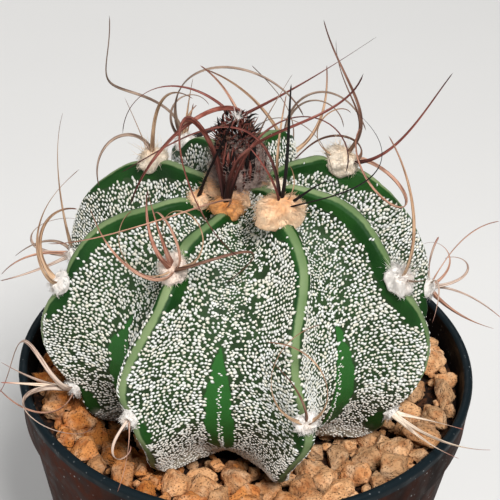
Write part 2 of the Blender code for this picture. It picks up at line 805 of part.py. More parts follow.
def crown_bud(surface, cutter):
    """The woolly bud in the crown with its pointed scales."""
    top = ridge_point(RIBS[0], 0.0)
    axis = Vector((0, 0, 1))
    centre = top + axis * (BUD_HEIGHT / 2 - BUD_SINK)
    rng = random.Random(BUD_SEED)
    axes = [Vector((BUD_R, 0, 0)), Vector((0, BUD_R, 0)), axis * BUD_HEIGHT / 2]
    made = lumpy_ball("crown_bud", centre, axes, BUD_RINGS, BUD_SIDES, BUD_ROUGH, rng, surface)
    scales = []
    for k in range(BUD_SCALES):
        turn = k * GOLDEN_TURN
        polar = math.acos(1 - BUD_COVER * (k + 0.5) / BUD_SCALES)
        way = Vector((math.sin(polar) * math.cos(turn), math.sin(polar) * math.sin(turn), math.cos(polar)))
        root = centre + SCALE_ROOT * Vector((way.x * BUD_R, way.y * BUD_R, way.z * BUD_HEIGHT / 2))
        tip = root + (way + axis * SCALE_RISE).normalized() * SCALE_LENGTH
        side = (tip - root).cross(axis).normalized() * SCALE_R
        over = (tip - root).cross(side).normalized() * SCALE_R * SCALE_FLATNESS
        corners = [root + side - over, root + over, root - side - over, tip]
        scales.append(new_object("scale", corners, [(2, 1, 0), (0, 1, 3), (1, 2, 3), (2, 0, 3)]))
    apply_boolean(made, "UNION", scales)
    cut_clear(made, cutter, "MANIFOLD")
    return made


def shade(made):
    """Shade a piece smooth but for its sharp edges."""
    made.data.shade_smooth()
    made.data.set_sharp_from_angle(angle=math.radians(40))


def main():
    for made in list(bpy.data.objects):
        bpy.data.objects.remove(made)
    plastic = material("pot_plastic", (0.03, 0.018, 0.015), 0.55)
    soil = material("mix", (0.045, 0.03, 0.02), 0.95)
    stone = material("gravel", (0.55, 0.33, 0.18), 0.9)
    green = material("skin", (0.10, 0.22, 0.07), 0.6)
    wool = material("wool", (0.80, 0.70, 0.55), 0.95)
    brown = material("bud", (0.30, 0.17, 0.13), 0.85)
    body = plant_body("cactus_body", green)
    pieces = [pot(plastic), potting_mix(soil), body, gravel(stone)]
    around_body = grown(body, SKIN_GAP)
    pieces.append(crown_bud(brown, around_body))
    for key in AREOLES:
        pieces.append(areole(key, wool, around_body))
    remove(around_body)
    for made in pieces:
        shade(made)


main()
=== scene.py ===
"""Looks of the potted goat horn cactus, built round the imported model.

Sizes are in millimetres and become metres where a mesh is made. The origin is the centre of the pot's
base, +Z is up and the front of the plant faces -Y. Angles are in degrees from -Y, growing towards +X.
"""
from __future__ import annotations

import json
import logging
import math
import random
from dataclasses import dataclass, field
from enum import Enum

import bmesh
import bpy
from bpy.types import Collection, Material, NodeSocket, NodeTree, Object
from mathutils import Matrix, Quaternion, Vector, noise
from mathutils.kdtree import KDTree

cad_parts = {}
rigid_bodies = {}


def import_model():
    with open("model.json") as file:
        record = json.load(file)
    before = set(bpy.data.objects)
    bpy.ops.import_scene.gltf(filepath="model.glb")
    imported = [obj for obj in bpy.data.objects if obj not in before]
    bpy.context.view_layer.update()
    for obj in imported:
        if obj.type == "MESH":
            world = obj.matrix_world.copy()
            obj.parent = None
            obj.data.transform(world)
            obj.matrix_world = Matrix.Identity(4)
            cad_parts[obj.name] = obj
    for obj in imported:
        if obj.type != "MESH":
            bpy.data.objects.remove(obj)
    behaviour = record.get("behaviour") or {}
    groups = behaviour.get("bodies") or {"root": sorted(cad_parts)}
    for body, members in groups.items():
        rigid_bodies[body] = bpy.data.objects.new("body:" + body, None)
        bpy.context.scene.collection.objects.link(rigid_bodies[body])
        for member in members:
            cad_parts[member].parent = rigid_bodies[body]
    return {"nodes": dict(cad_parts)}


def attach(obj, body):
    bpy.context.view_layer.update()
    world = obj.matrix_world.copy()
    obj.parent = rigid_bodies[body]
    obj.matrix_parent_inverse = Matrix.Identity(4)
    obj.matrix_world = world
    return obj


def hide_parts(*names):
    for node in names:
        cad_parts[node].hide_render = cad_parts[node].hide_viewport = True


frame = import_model()

MM = 0.001
GOLDEN_TURN = math.pi * (3 - math.sqrt(5))
BODY = "root"
Colour = tuple[float, float, float]
Point = tuple[float, float, float]
Pair = tuple[float, float]
Form = tuple[list, list]  # the points and the faces of a body
log = logging.getLogger("goat_horn_cactus")


# Node trees
def rgba(value: object) -> object:
    """Give a colour its fourth number, and leave anything else as it is."""
    return (*value, 1.0) if isinstance(value, tuple) and len(value) == 3 else value


class Tree:
    """A node tree under construction: a material's, a group's or a Geometry Nodes tree."""

    def __init__(self, tree: NodeTree) -> None:
        """Start with an empty tree."""
        self.tree = tree
        self.tree.nodes.clear()

    def feed(self, socket: NodeSocket, value: object) -> None:
        """Link a socket to another one, or set its value.

        Args:
            socket: The socket.
            value: The other socket, or the value.
        """
        if isinstance(value, NodeSocket):
            self.tree.links.new(value, socket)
        else:
            socket.default_value = value

    def node(self, kind: str, inputs: dict | None = None, **settings: object) -> bpy.types.Node:
        """Add a node.

        Args:
            kind: Blender's name of the node type.
            inputs: Values or sockets for its inputs, by name or number.
            **settings: Properties of the node.

        Returns:
            The new node.
        """
        made = self.tree.nodes.new(kind)
        for name, value in settings.items():
            setattr(made, name, value)
        for key, value in (inputs or {}).items():
            self.feed(made.inputs[key], value)
        return made

    def math(self, operation: str, *values: object) -> NodeSocket:
        """Add a math node and return its result."""
        return self.node("ShaderNodeMath", dict(enumerate(values)), operation=operation).outputs[0]

    def times(self, first: object, second: object) -> NodeSocket:
        """Multiply two numbers."""
        return self.math("MULTIPLY", first, second)

    def plus(self, first: object, second: object) -> NodeSocket:
        """Add two numbers."""
        return self.math("ADD", first, second)

    def minus(self, first: object, second: object) -> NodeSocket:
        """Take the second number from the first."""
        return self.math("SUBTRACT", first, second)

    def mix(self, share: object, first: object, second: object, blend: str = "MIX") -> NodeSocket:
        """Mix two colours by the second one's share, laid over the first in the way that blend names."""
        values = {0: share, 6: rgba(first), 7: rgba(second)}
        return self.node("ShaderNodeMix", values, data_type="RGBA", blend_type=blend).outputs[2]

    def step(self, value: object, low: object, high: object) -> NodeSocket:
        """Turn a value into a smooth step from 0 at low to 1 at high."""
        values = {"Value": value, "From Min": low, "From Max": high}
        return self.node("ShaderNodeMapRange", values, interpolation_type="SMOOTHSTEP").outputs["Result"]

    def cloud(self, vector: object, scale: object, detail: float = 3.0) -> NodeSocket:
        """Add noise of a scale and return its value."""
        values = {"Vector": vector, "Scale": scale, "Detail": detail}
        return self.node("ShaderNodeTexNoise", values).outputs[0]

    def cells(self, vector: object, scale: object) -> NodeSocket:
        """Add cells of a scale and return the distance to their middles."""
        return self.node("ShaderNodeTexVoronoi", {"Vector": vector, "Scale": scale}).outputs["Distance"]


class ShaderGroup(Tree):
    """A shader node group with number inputs, a vector input and one number output."""

    def __init__(self, name: str, inputs: dict[str, float], output: str) -> None:
        """Start a group.

        Args:
            name: Name of the group.
            inputs: Names of its number inputs with their starting values.
            output: Name of its output.
        """
        super().__init__(bpy.data.node_groups.new(name, "ShaderNodeTree"))
        self.tree.interface.new_socket("Vector", in_out="INPUT", socket_type="NodeSocketVector")
        for label, value in inputs.items():
            made = self.tree.interface.new_socket(label, in_out="INPUT", socket_type="NodeSocketFloat")
            made.default_value = value
        self.tree.interface.new_socket(output, in_out="OUTPUT", socket_type="NodeSocketFloat")
        self.given = self.node("NodeGroupInput").outputs

    def close(self, result: NodeSocket) -> NodeTree:
        """Wire the result to the output and return the finished group."""
        self.node("NodeGroupOutput", {0: result})
        return self.tree


def grain_group() -> NodeTree:
    """Fine uneven relief with pits, as a height.

    Returns:
        The node group.
    """
    kit = ShaderGroup("grain", {"Scale": 400.0, "Pits": 0.0, "Pit Scale": 900.0}, "Height")
    given = kit.given
    rough = kit.cloud(given["Vector"], given["Scale"], 5.0)
    pit = kit.minus(1.0, kit.step(kit.cells(given["Vector"], given["Pit Scale"]), 0.0, 0.4))
    return kit.close(kit.minus(rough, kit.times(pit, given["Pits"])))


def patch_group() -> NodeTree:
    """Soft-edged patches for mottling, dust, wear and painted shade, as a mask.

    Returns:
        The node group.
    """
    kit = ShaderGroup("patches", {"Scale": 30.0, "Cover": 0.5, "Softness": 0.1}, "Mask")
    given = kit.given
    level = kit.minus(1.0, given["Cover"])
    low = kit.minus(level, given["Softness"])
    high = kit.plus(level, given["Softness"])
    return kit.close(kit.step(kit.cloud(given["Vector"], given["Scale"], 6.0), low, high))


def fibre_group() -> NodeTree:
    """Fine tangled fibres, as a value from 0 to 1.

    Returns:
        The node group.
    """
    kit = ShaderGroup("fibres", {"Scale": 900.0, "Tangle": 0.5}, "Value")
    given = kit.given
    coarse = kit.cloud(given["Vector"], kit.times(given["Scale"], 0.3), 2.0)
    bent = kit.node("ShaderNodeVectorMath", {0: coarse, 3: 0.01}, operation="SCALE").outputs[0]
    moved = kit.node("ShaderNodeVectorMath", {0: given["Vector"], 1: bent}, operation="ADD").outputs[0]
    fine = kit.node("ShaderNodeTexNoise", {"Vector": moved, "Scale": given["Scale"], "Detail": 4.0,
                                           "Distortion": given["Tangle"]}).outputs[0]
    return kit.close(fine)


@dataclass
class Effects:
    """The node groups that several finishes share."""

    grain: NodeTree = field(default_factory=grain_group)
    patches: NodeTree = field(default_factory=patch_group)
    fibres: NodeTree = field(default_factory=fibre_group)


class Paint(Tree):
    """A material under construction, with its Principled BSDF and its Object coordinates."""

    def __init__(self, name: str, effects: Effects, constants: dict[str, float] | None = None) -> None:
        """Start a material.

        Args:
            name: Name of the material.
            effects: Shared node groups.
            constants: Values set on the shader's own sockets.
        """
        self.material = bpy.data.materials.new(name)
        self.material.use_nodes = True
        super().__init__(self.material.node_tree)
        self.effects = effects
        self.shader = self.node("ShaderNodeBsdfPrincipled", constants or {})
        self.node("ShaderNodeOutputMaterial", {"Surface": self.shader.outputs[0]})
        self.here = self.node("ShaderNodeTexCoord").outputs["Object"]

    def place(self, group: NodeTree, **values: object) -> NodeSocket:
        """Place a shared node group and return its output.

        Args:
            group: The node group.
            **values: Its inputs, with underscores for spaces; Vector is the object's own unless given.

        Returns:
            The group's output.
        """
        made = self.node("ShaderNodeGroup", node_tree=group)
        for label, value in ({"Vector": self.here} | values).items():
            self.feed(made.inputs[label.replace("_", " ")], value)
        return made.outputs[0]

    def patches(self, scale: float, cover: float, softness: float, vector: object = None) -> NodeSocket:
        """Place soft-edged patches, on the object's own coordinates unless others are given."""
        values = {"Scale": scale, "Cover": cover, "Softness": softness, "Vector": vector or self.here}
        return self.place(self.effects.patches, **values)

    def value(self, name: str) -> NodeSocket:
        """Read a number stored on the mesh."""
        return self.node("ShaderNodeAttribute", attribute_name=name).outputs["Fac"]

    def stretched(self, z: float) -> NodeSocket:
        """The object's coordinates, stretched along its height."""
        return self.node("ShaderNodeMapping", {"Vector": self.here, "Scale": (1.0, 1.0, z)}).outputs[0]

    def finish(self, colour: object, rough: object, height: object = None,
               depth: float = 0.1) -> Material:
        """Wire the results to the shader.

        Args:
            colour: Base colour.
            rough: Roughness.
            height: Height of the relief, if it has one.
            depth: Depth of the relief in millimetres.

        Returns:
            The finished material.
        """
        self.feed(self.shader.inputs["Base Color"], rgba(colour))
        self.feed(self.shader.inputs["Roughness"], rough)
        if height is not None:
            values = {"Height": height, "Strength": 1.0, "Distance": depth * MM}
            self.feed(self.shader.inputs["Normal"], self.node("ShaderNodeBump", values).outputs[0])
        return self.material


# Meshes
def linked(name: str, data: bpy.types.ID) -> Object:
    """Make an object from its data, linked to the scene.

    Args:
        name: Name of the object.
        data: Its mesh, lamp or lens.

    Returns:
        The object.
    """
    made = bpy.data.objects.new(name, data)
    bpy.context.scene.collection.objects.link(made)
    return made


def mesh_object(name: str, points: list, faces: list, material: Material | None = None) -> Object:
    """Make a smooth object from points in millimetres.

    Args:
        name: Name of the object.
        points: Its points.
        faces: Its faces, as point numbers.
        material: Its finish.

    Returns:
        The object, linked to the scene.
    """
    mesh = bpy.data.meshes.new(name)
    mesh.from_pydata([tuple(c * MM for c in p) for p in points], [], faces)
    mesh.validate()
    if material:
        mesh.materials.append(material)
    mesh.shade_smooth()
    return linked(name, mesh)


def shape_set(name: str, bodies: list[Form]) -> Collection:
    """Shapes to strew or to cut with, in a collection that is never shown.

    Args:
        name: Name of the collection.
        bodies: Points and faces of each shape.

    Returns:
        The collection.
    """
    shapes = bpy.data.collections.new(name)
    for number, (points, faces) in enumerate(bodies):
        made = mesh_object("%s_%d" % (name, number), points, faces)
        bpy.context.scene.collection.objects.unlink(made)
        shapes.objects.link(made)
    return shapes


def store(made: Object, name: str, values: list, kind: str = "FLOAT") -> None:
    """Store one value for each point of a mesh.

    Args:
        made: The object.
        name: Name of the attribute.
        values: The values, in the order of the points.
        kind: FLOAT, FLOAT_VECTOR, FLOAT_COLOR or QUATERNION.
    """
    part = {"FLOAT_VECTOR": "vector", "FLOAT_COLOR": "color"}.get(kind, "value")
    flat = values if kind == "FLOAT" else [c for value in values for c in value]
    made.data.attributes.new(name, kind, "POINT").data.foreach_set(part, flat)


def drop(made: Object) -> None:
    """Remove an object with its mesh.

    Args:
        made: The object.
    """
    mesh = made.data
    bpy.data.objects.remove(made)
    bpy.data.meshes.remove(mesh)


def cleared(shapes: Collection) -> None:
    """Remove a collection with its objects and their meshes."""
    for shape in list(shapes.objects):
        drop(shape)
    bpy.data.collections.remove(shapes)


def baked(host: Object, name: str, tree: NodeTree, settings: dict) -> Object:
    """Run a Geometry Nodes tree on a mesh and keep the result as a plain mesh.

    Args:
        host: The object that the tree works on, which stays as it is.
        name: Name of the new object.
        tree: The Geometry Nodes tree.
        settings: Values for the tree's inputs, by name.

    Returns:
        The new object, linked to the scene.
    """
    step = host.modifiers.new("nodes", "NODES")
    step.node_group = tree
    for item in tree.interface.items_tree:
        if item.in_out == "INPUT" and item.name in settings:
            step[item.identifier] = settings[item.name]
    host.update_tag()
    shaped = host.evaluated_get(bpy.context.evaluated_depsgraph_get())
    mesh = bpy.data.meshes.new_from_object(shaped)
    host.modifiers.remove(step)
    mesh.name = name
    mesh.shade_smooth()
    return linked(name, mesh)


def joined(name: str, pieces: list[Object]) -> Object:
    """Join objects into the first of them, under a new name.

    Args:
        name: The new name.
        pieces: The objects.

    Returns:
        The joined object.
    """
    with bpy.context.temp_override(active_object=pieces[0], selected_editable_objects=pieces):
        bpy.ops.object.join()
    pieces[0].name = name
    pieces[0].data.name = name
    return pieces[0]


def put(made: Object, slot: str, *nodes: str) -> Object:
    """Hand a finished piece to the frame.

    Args:
        made: The piece.
        slot: The record's material slot; not used.
        *nodes: The CAD nodes that it stands for.

    Returns:
        The piece.
    """
    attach(made, BODY)
    if nodes:
        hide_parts(*nodes)
    log.info("%s: %d faces", made.name, len(made.data.polygons))
    return made


def tube(path: list[Vector], section: list[list[Pair]], side: Vector) -> Form:
    """Loft a closed body along a path, from a flat root to a point.

    Args:
        path: Points along the middle.
        section: For each point of the path but the last, the outline as (sideways, upwards).
        side: Sideways direction at the root.

    Returns:
        The points and the faces.
    """
    points: list = []
    faces: list = []
    last = len(path) - 1
    count = len(section[0])
    for k, middle in enumerate(path[:-1]):
        ahead = (path[k + 1] - path[max(k - 1, 0)]).normalized()
        side = (side - ahead * side.dot(ahead)).normalized()
        over = ahead.cross(side)
        points += [middle + side * x + over * y for x, y in section[k]]
    points.append(path[-1])
    for k in range(last - 1):
        for corner in range(count):
            after = (corner + 1) % count
            low = count * k
            faces.append((low + corner, low + after, low + count + after, low + count + corner))
    end = count * (last - 1)
    faces.append(tuple(reversed(range(count))))
    faces += [(end + corner, end + (corner + 1) % count, count * last) for corner in range(count)]
    return points, faces


class Batch:
    """Points and faces of many small bodies that make one mesh, with values for their points."""

    def __init__(self) -> None:
        """Start with nothing."""
        self.points: list = []
        self.faces: list = []
        self.fields: dict[str, list] = {}

    def add(self, points: list, faces: list, **fields: list) -> None:
        """Add a body.

        Args:
            points: Its points.
            faces: Its faces.
            **fields: One value for each of its points, by name.
        """
        start = len(self.points)
        self.points += points
        self.faces += [tuple(start + k for k in face) for face in faces]
        for name, values in fields.items():
            self.fields.setdefault(name, []).extend(values)

    def build(self, name: str, material: Material) -> Object:
        """Make the mesh, with its numbers and colours stored.

        Args:
            name: Name of the object.
            material: Its finish.

        Returns:
            The object.
        """
        made = mesh_object(name, self.points, self.faces, material)
        for label, values in self.fields.items():
            store(made, label, values, "FLOAT" if isinstance(values[0], float) else "FLOAT_COLOR")
        return made


def ring_faces(rings: int, sides: int) -> list[tuple]:
    """Faces of a closed body of rising rings between two poles.

    Args:
        rings: Rings between the poles, which are the first and the last point.
        sides: Points on a ring.

    Returns:
        The faces.
    """
    faces = []
    last = 1 + rings * sides
    top = last - sides
    for k in range(sides):
        after = (k + 1) % sides
        faces.append((0, 1 + after, 1 + k))
        for low in range(1, top, sides):
            faces.append((low + k, low + after, low + sides + after, low + sides + k))
        faces.append((top + k, top + after, last))
    return faces


def lathe(line: list[tuple], sides: int, spot: Vector) -> Form:
    """Turn an outline that starts and ends on the axis into a closed body.

    Args:
        line: The outline.
        sides: Points on a ring.
        spot: Where its axis stands.

    Returns:
        The points and the faces.
    """
    points = [spot + Vector((0, 0, line[0][1]))]
    for radius, height in line[1:-1]:
        for k in range(sides):
            turn = 2 * math.pi * k / sides
            points.append(spot + Vector((radius * math.sin(turn), -radius * math.cos(turn), height)))
    points.append(spot + Vector((0, 0, line[-1][1])))
    return points, ring_faces(len(line) - 2, sides)


def ball(axes: list[Vector], centre: Vector, rings: int, sides: int, rough: float,
         grain: float) -> Form:
    """A closed ball with three half axes, pushed in and out by noise.

    Args:
        axes: Half axes across, along and out.
        centre: Its middle.
        rings: Rings from pole to pole.
        sides: Points on a ring.
        rough: Share of its size that the noise moves.
        grain: Scale of the noise.

    Returns:
        The points and the faces.
    """
    def at(x: float, y: float, z: float) -> Vector:
        """Place one point of the unit ball."""
        swell = 1 + rough * noise.noise(Vector((x, y, z)) * grain + centre)
        return centre + swell * (x * axes[0] + y * axes[1] + z * axes[2])

    points = [at(0, 0, -1)]
    for row in range(1, rings):
        polar = math.pi * row / rings
        flat = math.sin(polar)
        for k in range(sides):
            turn = 2 * math.pi * k / sides
            points.append(at(flat * math.cos(turn), flat * math.sin(turn), -math.cos(polar)))
    points.append(at(0, 0, 1))
    faces = ring_faces(rings - 1, sides)
    if axes[0].cross(axes[1]).dot(axes[2]) < 0:
        faces = [tuple(reversed(face)) for face in faces]
    return points, faces


def felted(name: str, body: Form, finish: tuple[Material, NodeTree], marks: dict[str, list],
           coats: list[dict]) -> Object:
    """A felted body with its coats of hair.

    Args:
        name: Name of the object.
        body: Its points and faces.
        finish: Its material and the tree that grows its hairs.
        marks: The depths of its colour and the covers of its coats, by name.
        coats: The tree's settings for each coat.

    Returns:
        The object.
    """
    core = mesh_object(name, *body, finish[0])
    for label, values in marks.items():
        store(core, label, values, "FLOAT_VECTOR" if label == "lie" else "FLOAT")
    store(core, "size", [1.0] * len(body[0]))
    fixed = {"Cover": "cover", "Size": "size"}
    grown = [baked(core, name + "_coat", finish[1], fixed | coat) for coat in coats]
    return joined(name, [core] + grown)


# Geometry Nodes
class NodeTool(Tree):
    """A Geometry Nodes tree with named inputs, which ends in Realize Instances and Set Material."""

    def __init__(self, name: str, inputs: dict[str, str]) -> None:
        """Start a tree.

        Args:
            name: Name of the tree.
            inputs: Socket kinds of its inputs, by name, besides the geometry.
        """
        super().__init__(bpy.data.node_groups.new(name, "GeometryNodeTree"))
        face = self.tree.interface
        face.new_socket("Geometry", in_out="INPUT", socket_type="NodeSocketGeometry")
        for label, kind in inputs.items():
            face.new_socket(label, in_out="INPUT", socket_type="NodeSocket" + kind)
        face.new_socket("Geometry", in_out="OUTPUT", socket_type="NodeSocketGeometry")
        self.given = self.node("NodeGroupInput").outputs

    def named(self, name: str, kind: str = "FLOAT") -> NodeSocket:
        """Read an attribute by its name."""
        made = self.node("GeometryNodeInputNamedAttribute", {"Name": name}, data_type=kind)
        return made.outputs["Attribute"]

    def chance(self, low: object, high: object, shift: int) -> NodeSocket:
        """A random number for each item, from the tree's seed and a shift of its own."""
        values = {2: low, 3: high, 8: self.plus(self.given["Seed"], float(shift))}
        return self.node("FunctionNodeRandomValue", values, data_type="FLOAT").outputs[1]

    def keep(self, geometry: object, name: str, value: object) -> NodeSocket:
        """Store a number on each instance under a name.

        Args:
            geometry: The instances.
            name: The name.
            value: The number.

        Returns:
            The instances with the number.
        """
        values = {"Geometry": geometry, "Name": name, "Value": value}
        made = self.node("GeometryNodeStoreNamedAttribute", values, data_type="FLOAT", domain="INSTANCE")
        return made.outputs[0]

    def copies(self, points: object, rotation: object, scale: object) -> NodeSocket:
        """Put one of the shapes in the tree's Shapes input on each point.

        Args:
            points: The points.
            rotation: How each copy is turned.
            scale: How large each copy is.

        Returns:
            The instances.
        """
        values = {"Collection": self.given["Shapes"], "Separate Children": True, "Reset Children": True}
        shapes = self.node("GeometryNodeCollectionInfo", values).outputs[0]
        values = {4: 0, 5: 50, 8: self.given["Seed"]}
        pick = self.node("FunctionNodeRandomValue", values, data_type="INT").outputs[2]
        return self.node("GeometryNodeInstanceOnPoints", {
            "Points": points, "Instance": shapes, "Pick Instance": True, "Instance Index": pick,
            "Rotation": rotation, "Scale": scale,
        }).outputs[0]

    def close(self, geometry: object, material: Material) -> NodeTree:
        """Give the realized copies their finish and return the tree.

        Args:
            geometry: The copies.
            material: Their finish.

        Returns:
            The tree.
        """
        dressed = self.node("GeometryNodeSetMaterial", {"Geometry": geometry, "Material": material})
        self.node("NodeGroupOutput", {0: dressed.outputs[0]})
        return self.tree


class Spread(Enum):
    """How copies are strewn over a surface."""

    EVEN = "POISSON"
    LOOSE = "RANDOM"


def strewn_tree(name: str, spread: Spread, material: Material) -> NodeTree:
    """A tree that strews copies of some shapes over a surface.

    The surface's attributes steer it: the one named by Cover thins the copies out, the one named by Size
    scales them and lie turns them.

    Args:
        name: Name of the tree.
        spread: Even or loose.
        material: Finish of the copies.

    Returns:
        The tree.
    """
    kit = NodeTool(name, {
        "Shapes": "Collection", "Cover": "String", "Size": "String", "Spacing": "Float", "Density": "Float",
        "Smallest": "Float", "Largest": "Float", "Swing": "Float", "Lean": "Float", "Lean Spread": "Float",
        "Seed": "Int",
    })
    given = kit.given
    values = {"Mesh": given["Geometry"], "Seed": given["Seed"]}
    cover = kit.named(given["Cover"])
    if spread is Spread.EVEN:
        values |= {"Distance Min": given["Spacing"], "Density Max": given["Density"],
                   "Density Factor": cover}
    else:
        values |= {"Density": kit.times(given["Density"], cover)}
    dots = kit.node("GeometryNodeDistributePointsOnFaces", values, distribute_method=spread.value)
    upright = kit.node("FunctionNodeAlignRotationToVector", {"Vector": dots.outputs["Normal"]}, axis="Z")
    values = {"Rotation": upright.outputs[0], "Vector": kit.named("lie", "FLOAT_VECTOR")}
    turned = kit.node("FunctionNodeAlignRotationToVector", values, axis="X", pivot_axis="Z")
    swing = kit.chance(kit.times(given["Swing"], -1.0), given["Swing"], 1)
    spread_lean = kit.chance(kit.times(given["Lean Spread"], -1.0), given["Lean Spread"], 2)
    lean = kit.plus(given["Lean"], spread_lean)
    rotation = turned.outputs[0]
    for axis, angle in (("Z", swing), ("Y", lean)):
        euler = kit.node("ShaderNodeCombineXYZ", {axis: angle}).outputs[0]
        spin = kit.node("FunctionNodeEulerToRotation", {0: euler}).outputs[0]
        values = {0: rotation, 1: spin}
        rotation = kit.node("FunctionNodeRotateRotation", values, rotation_space="LOCAL").outputs[0]
    scale = kit.times(kit.chance(given["Smallest"], given["Largest"], 3), kit.named(given["Size"]))
    copies = kit.copies(dots.outputs["Points"], rotation, scale)
    tinted = kit.keep(copies, "tint", kit.chance(0.0, 1.0, 4))
    real = kit.node("GeometryNodeRealizeInstances", {"Geometry": tinted}).outputs[0]
    return kit.close(real, material)


def stone_tree(material: Material) -> NodeTree:
    """A tree that lays a stone on each point, with the point's axes and turn, and roughens it.

    Args:
        material: Finish of the stones.

    Returns:
        The tree.
    """
    kit = NodeTool("stones", {
        "Shapes": "Collection", "Knob Scale": "Float", "Knobs": "Float", "Grain": "Float", "Seed": "Int",
    })
    given = kit.given
    turn, axes = kit.named("turn", "QUATERNION"), kit.named("axes", "FLOAT_VECTOR")
    copies = kit.copies(given["Geometry"], turn, axes)
    tinted = kit.keep(copies, "tint", kit.chance(0.0, 1.0, 5))
    real = kit.node("GeometryNodeRealizeInstances", {"Geometry": tinted}).outputs[0]
    spot = kit.node("GeometryNodeInputPosition").outputs[0]
    knob = kit.minus(kit.cloud(spot, given["Knob Scale"], 2.0), 0.5)
    grain = kit.minus(kit.cloud(spot, kit.times(given["Knob Scale"], 4.0), 3.0), 0.5)
    rise = kit.plus(kit.times(knob, given["Knobs"]), kit.times(grain, given["Grain"]))
    rise = kit.times(rise, kit.named("girth"))
    normal = kit.node("GeometryNodeInputNormal").outputs[0]
    offset = kit.node("ShaderNodeVectorMath", {0: normal, 3: rise}, operation="SCALE").outputs[0]
    moved = kit.node("GeometryNodeSetPosition", {"Geometry": real, "Offset": offset}).outputs[0]
    return kit.close(moved, material)


# Finishes
@dataclass(frozen=True)
class SkinPaint:
    """Green skin: smooth ridge stripes with painted shade in patches, deep green bare places and a corky
    foot.
    """

    flank: Colour = (0.014, 0.031, 0.010)
    bare: Colour = (0.003, 0.030, 0.003)
    bare_lit: Colour = (0.014, 0.072, 0.008)
    groove: Colour = (0.020, 0.105, 0.017)
    stripe: Colour = (0.215, 0.275, 0.130)
    stripe_shade: Colour = (0.095, 0.160, 0.058)
    cork: Colour = (0.52, 0.46, 0.37)
    foot: Colour = (0.030, 0.033, 0.018)
    edge: float = 0.22

    def make(self, effects: Effects) -> Material:
        """Build the material from the mesh's depths inside stripe and bare places, and its foot.

        Args:
            effects: Shared node groups.

        Returns:
            The material.
        """
        kit = Paint("skin_green", effects, {"IOR": 1.42, "Specular IOR Level": 0.22})
        ragged = kit.times(kit.minus(kit.cloud(kit.here, 900.0, 3.0), 0.5), 1.1)
        mottle = kit.patches(160.0, 0.5, 0.25)
        flank = kit.mix(mottle, self.flank, tuple(1.9 * c for c in self.flank))
        cloudy = kit.patches(70.0, 0.42, 0.3)
        bare = kit.mix(cloudy, self.bare, self.bare_lit)
        in_bare = kit.step(kit.plus(kit.value("bare"), ragged), -self.edge, self.edge)
        colour = kit.mix(in_bare, flank, bare)
        inside = kit.step(kit.plus(kit.value("valley"), ragged), -self.edge, self.edge)
        colour = kit.mix(inside, colour, self.groove)
        # Painted shade: the ridge stripe takes its shaded colour in random patches.
        wear_and_shade = kit.patches(60.0, 0.5, 0.3)
        stripe = kit.mix(wear_and_shade, self.stripe, self.stripe_shade)
        inside = kit.step(kit.plus(kit.value("stripe"), kit.times(ragged, 0.4)), -0.30, 0.35)
        colour = kit.mix(inside, colour, stripe)
        foot = kit.times(kit.value("foot"), kit.minus(0.75, kit.times(in_bare, 0.6)))
        colour = kit.mix(foot, colour, self.foot)
        crust = kit.times(kit.value("crust"), kit.patches(420.0, 0.62, 0.12))
        colour = kit.mix(crust, colour, self.cork)
        fine = kit.place(effects.grain, Scale=1500.0)
        rough = kit.plus(0.46, kit.times(fine, 0.25))
        return kit.finish(colour, rough, kit.plus(fine, kit.times(crust, 1.5)), 0.12)


@dataclass(frozen=True)
class FleckPaint:
    """White tufts of short wool that dot the skin."""

    bright: Colour = (0.86, 0.87, 0.84)
    cream: Colour = (0.84, 0.80, 0.66)
    aged: Colour = (0.80, 0.73, 0.64)

    def make(self, effects: Effects) -> Material:
        """Build the material from the tufts' tint and foot values.

        Args:
            effects: Shared node groups.

        Returns:
            The material.
        """
        constants = {"Sheen Weight": 0.25, "Sheen Roughness": 0.6, "Specular IOR Level": 0.2}
        kit = Paint("fleck_white", effects, constants)
        colour = kit.mix(kit.step(kit.value("tint"), 0.35, 1.0), self.bright, self.cream)
        warm = kit.patches(45.0, 0.45, 0.2)
        colour = kit.mix(kit.times(warm, 0.45), colour, self.cream)
        dusty = kit.plus(0.55, kit.times(kit.value("tint"), 0.45))
        colour = kit.mix(kit.times(kit.value("foot"), dusty), colour, self.aged)
        hair = kit.place(effects.fibres, Scale=3500.0, Tangle=1.0)
        colour = kit.mix(0.3, colour, kit.mix(hair, (0.6, 0.6, 0.58), (1.0, 1.0, 1.0)), "MULTIPLY")
        return kit.finish(colour, 0.9, hair, 0.15)


class Wool(Enum):
    """Colours of the areoles' wool: its pale outer hairs and its deeper middle."""

    PEACH = ((0.97, 0.72, 0.48), (0.93, 0.43, 0.16))
    ORANGE = ((0.76, 0.36, 0.12), (0.62, 0.19, 0.03))
    CREAM = ((0.99, 0.88, 0.73), (0.94, 0.69, 0.45))
    BLUSH = ((0.99, 0.88, 0.79), (0.88, 0.62, 0.46))
    WHITE = ((0.99, 0.96, 0.92), (0.93, 0.81, 0.71))
    ASH = ((0.54, 0.42, 0.37), (0.26, 0.14, 0.11))


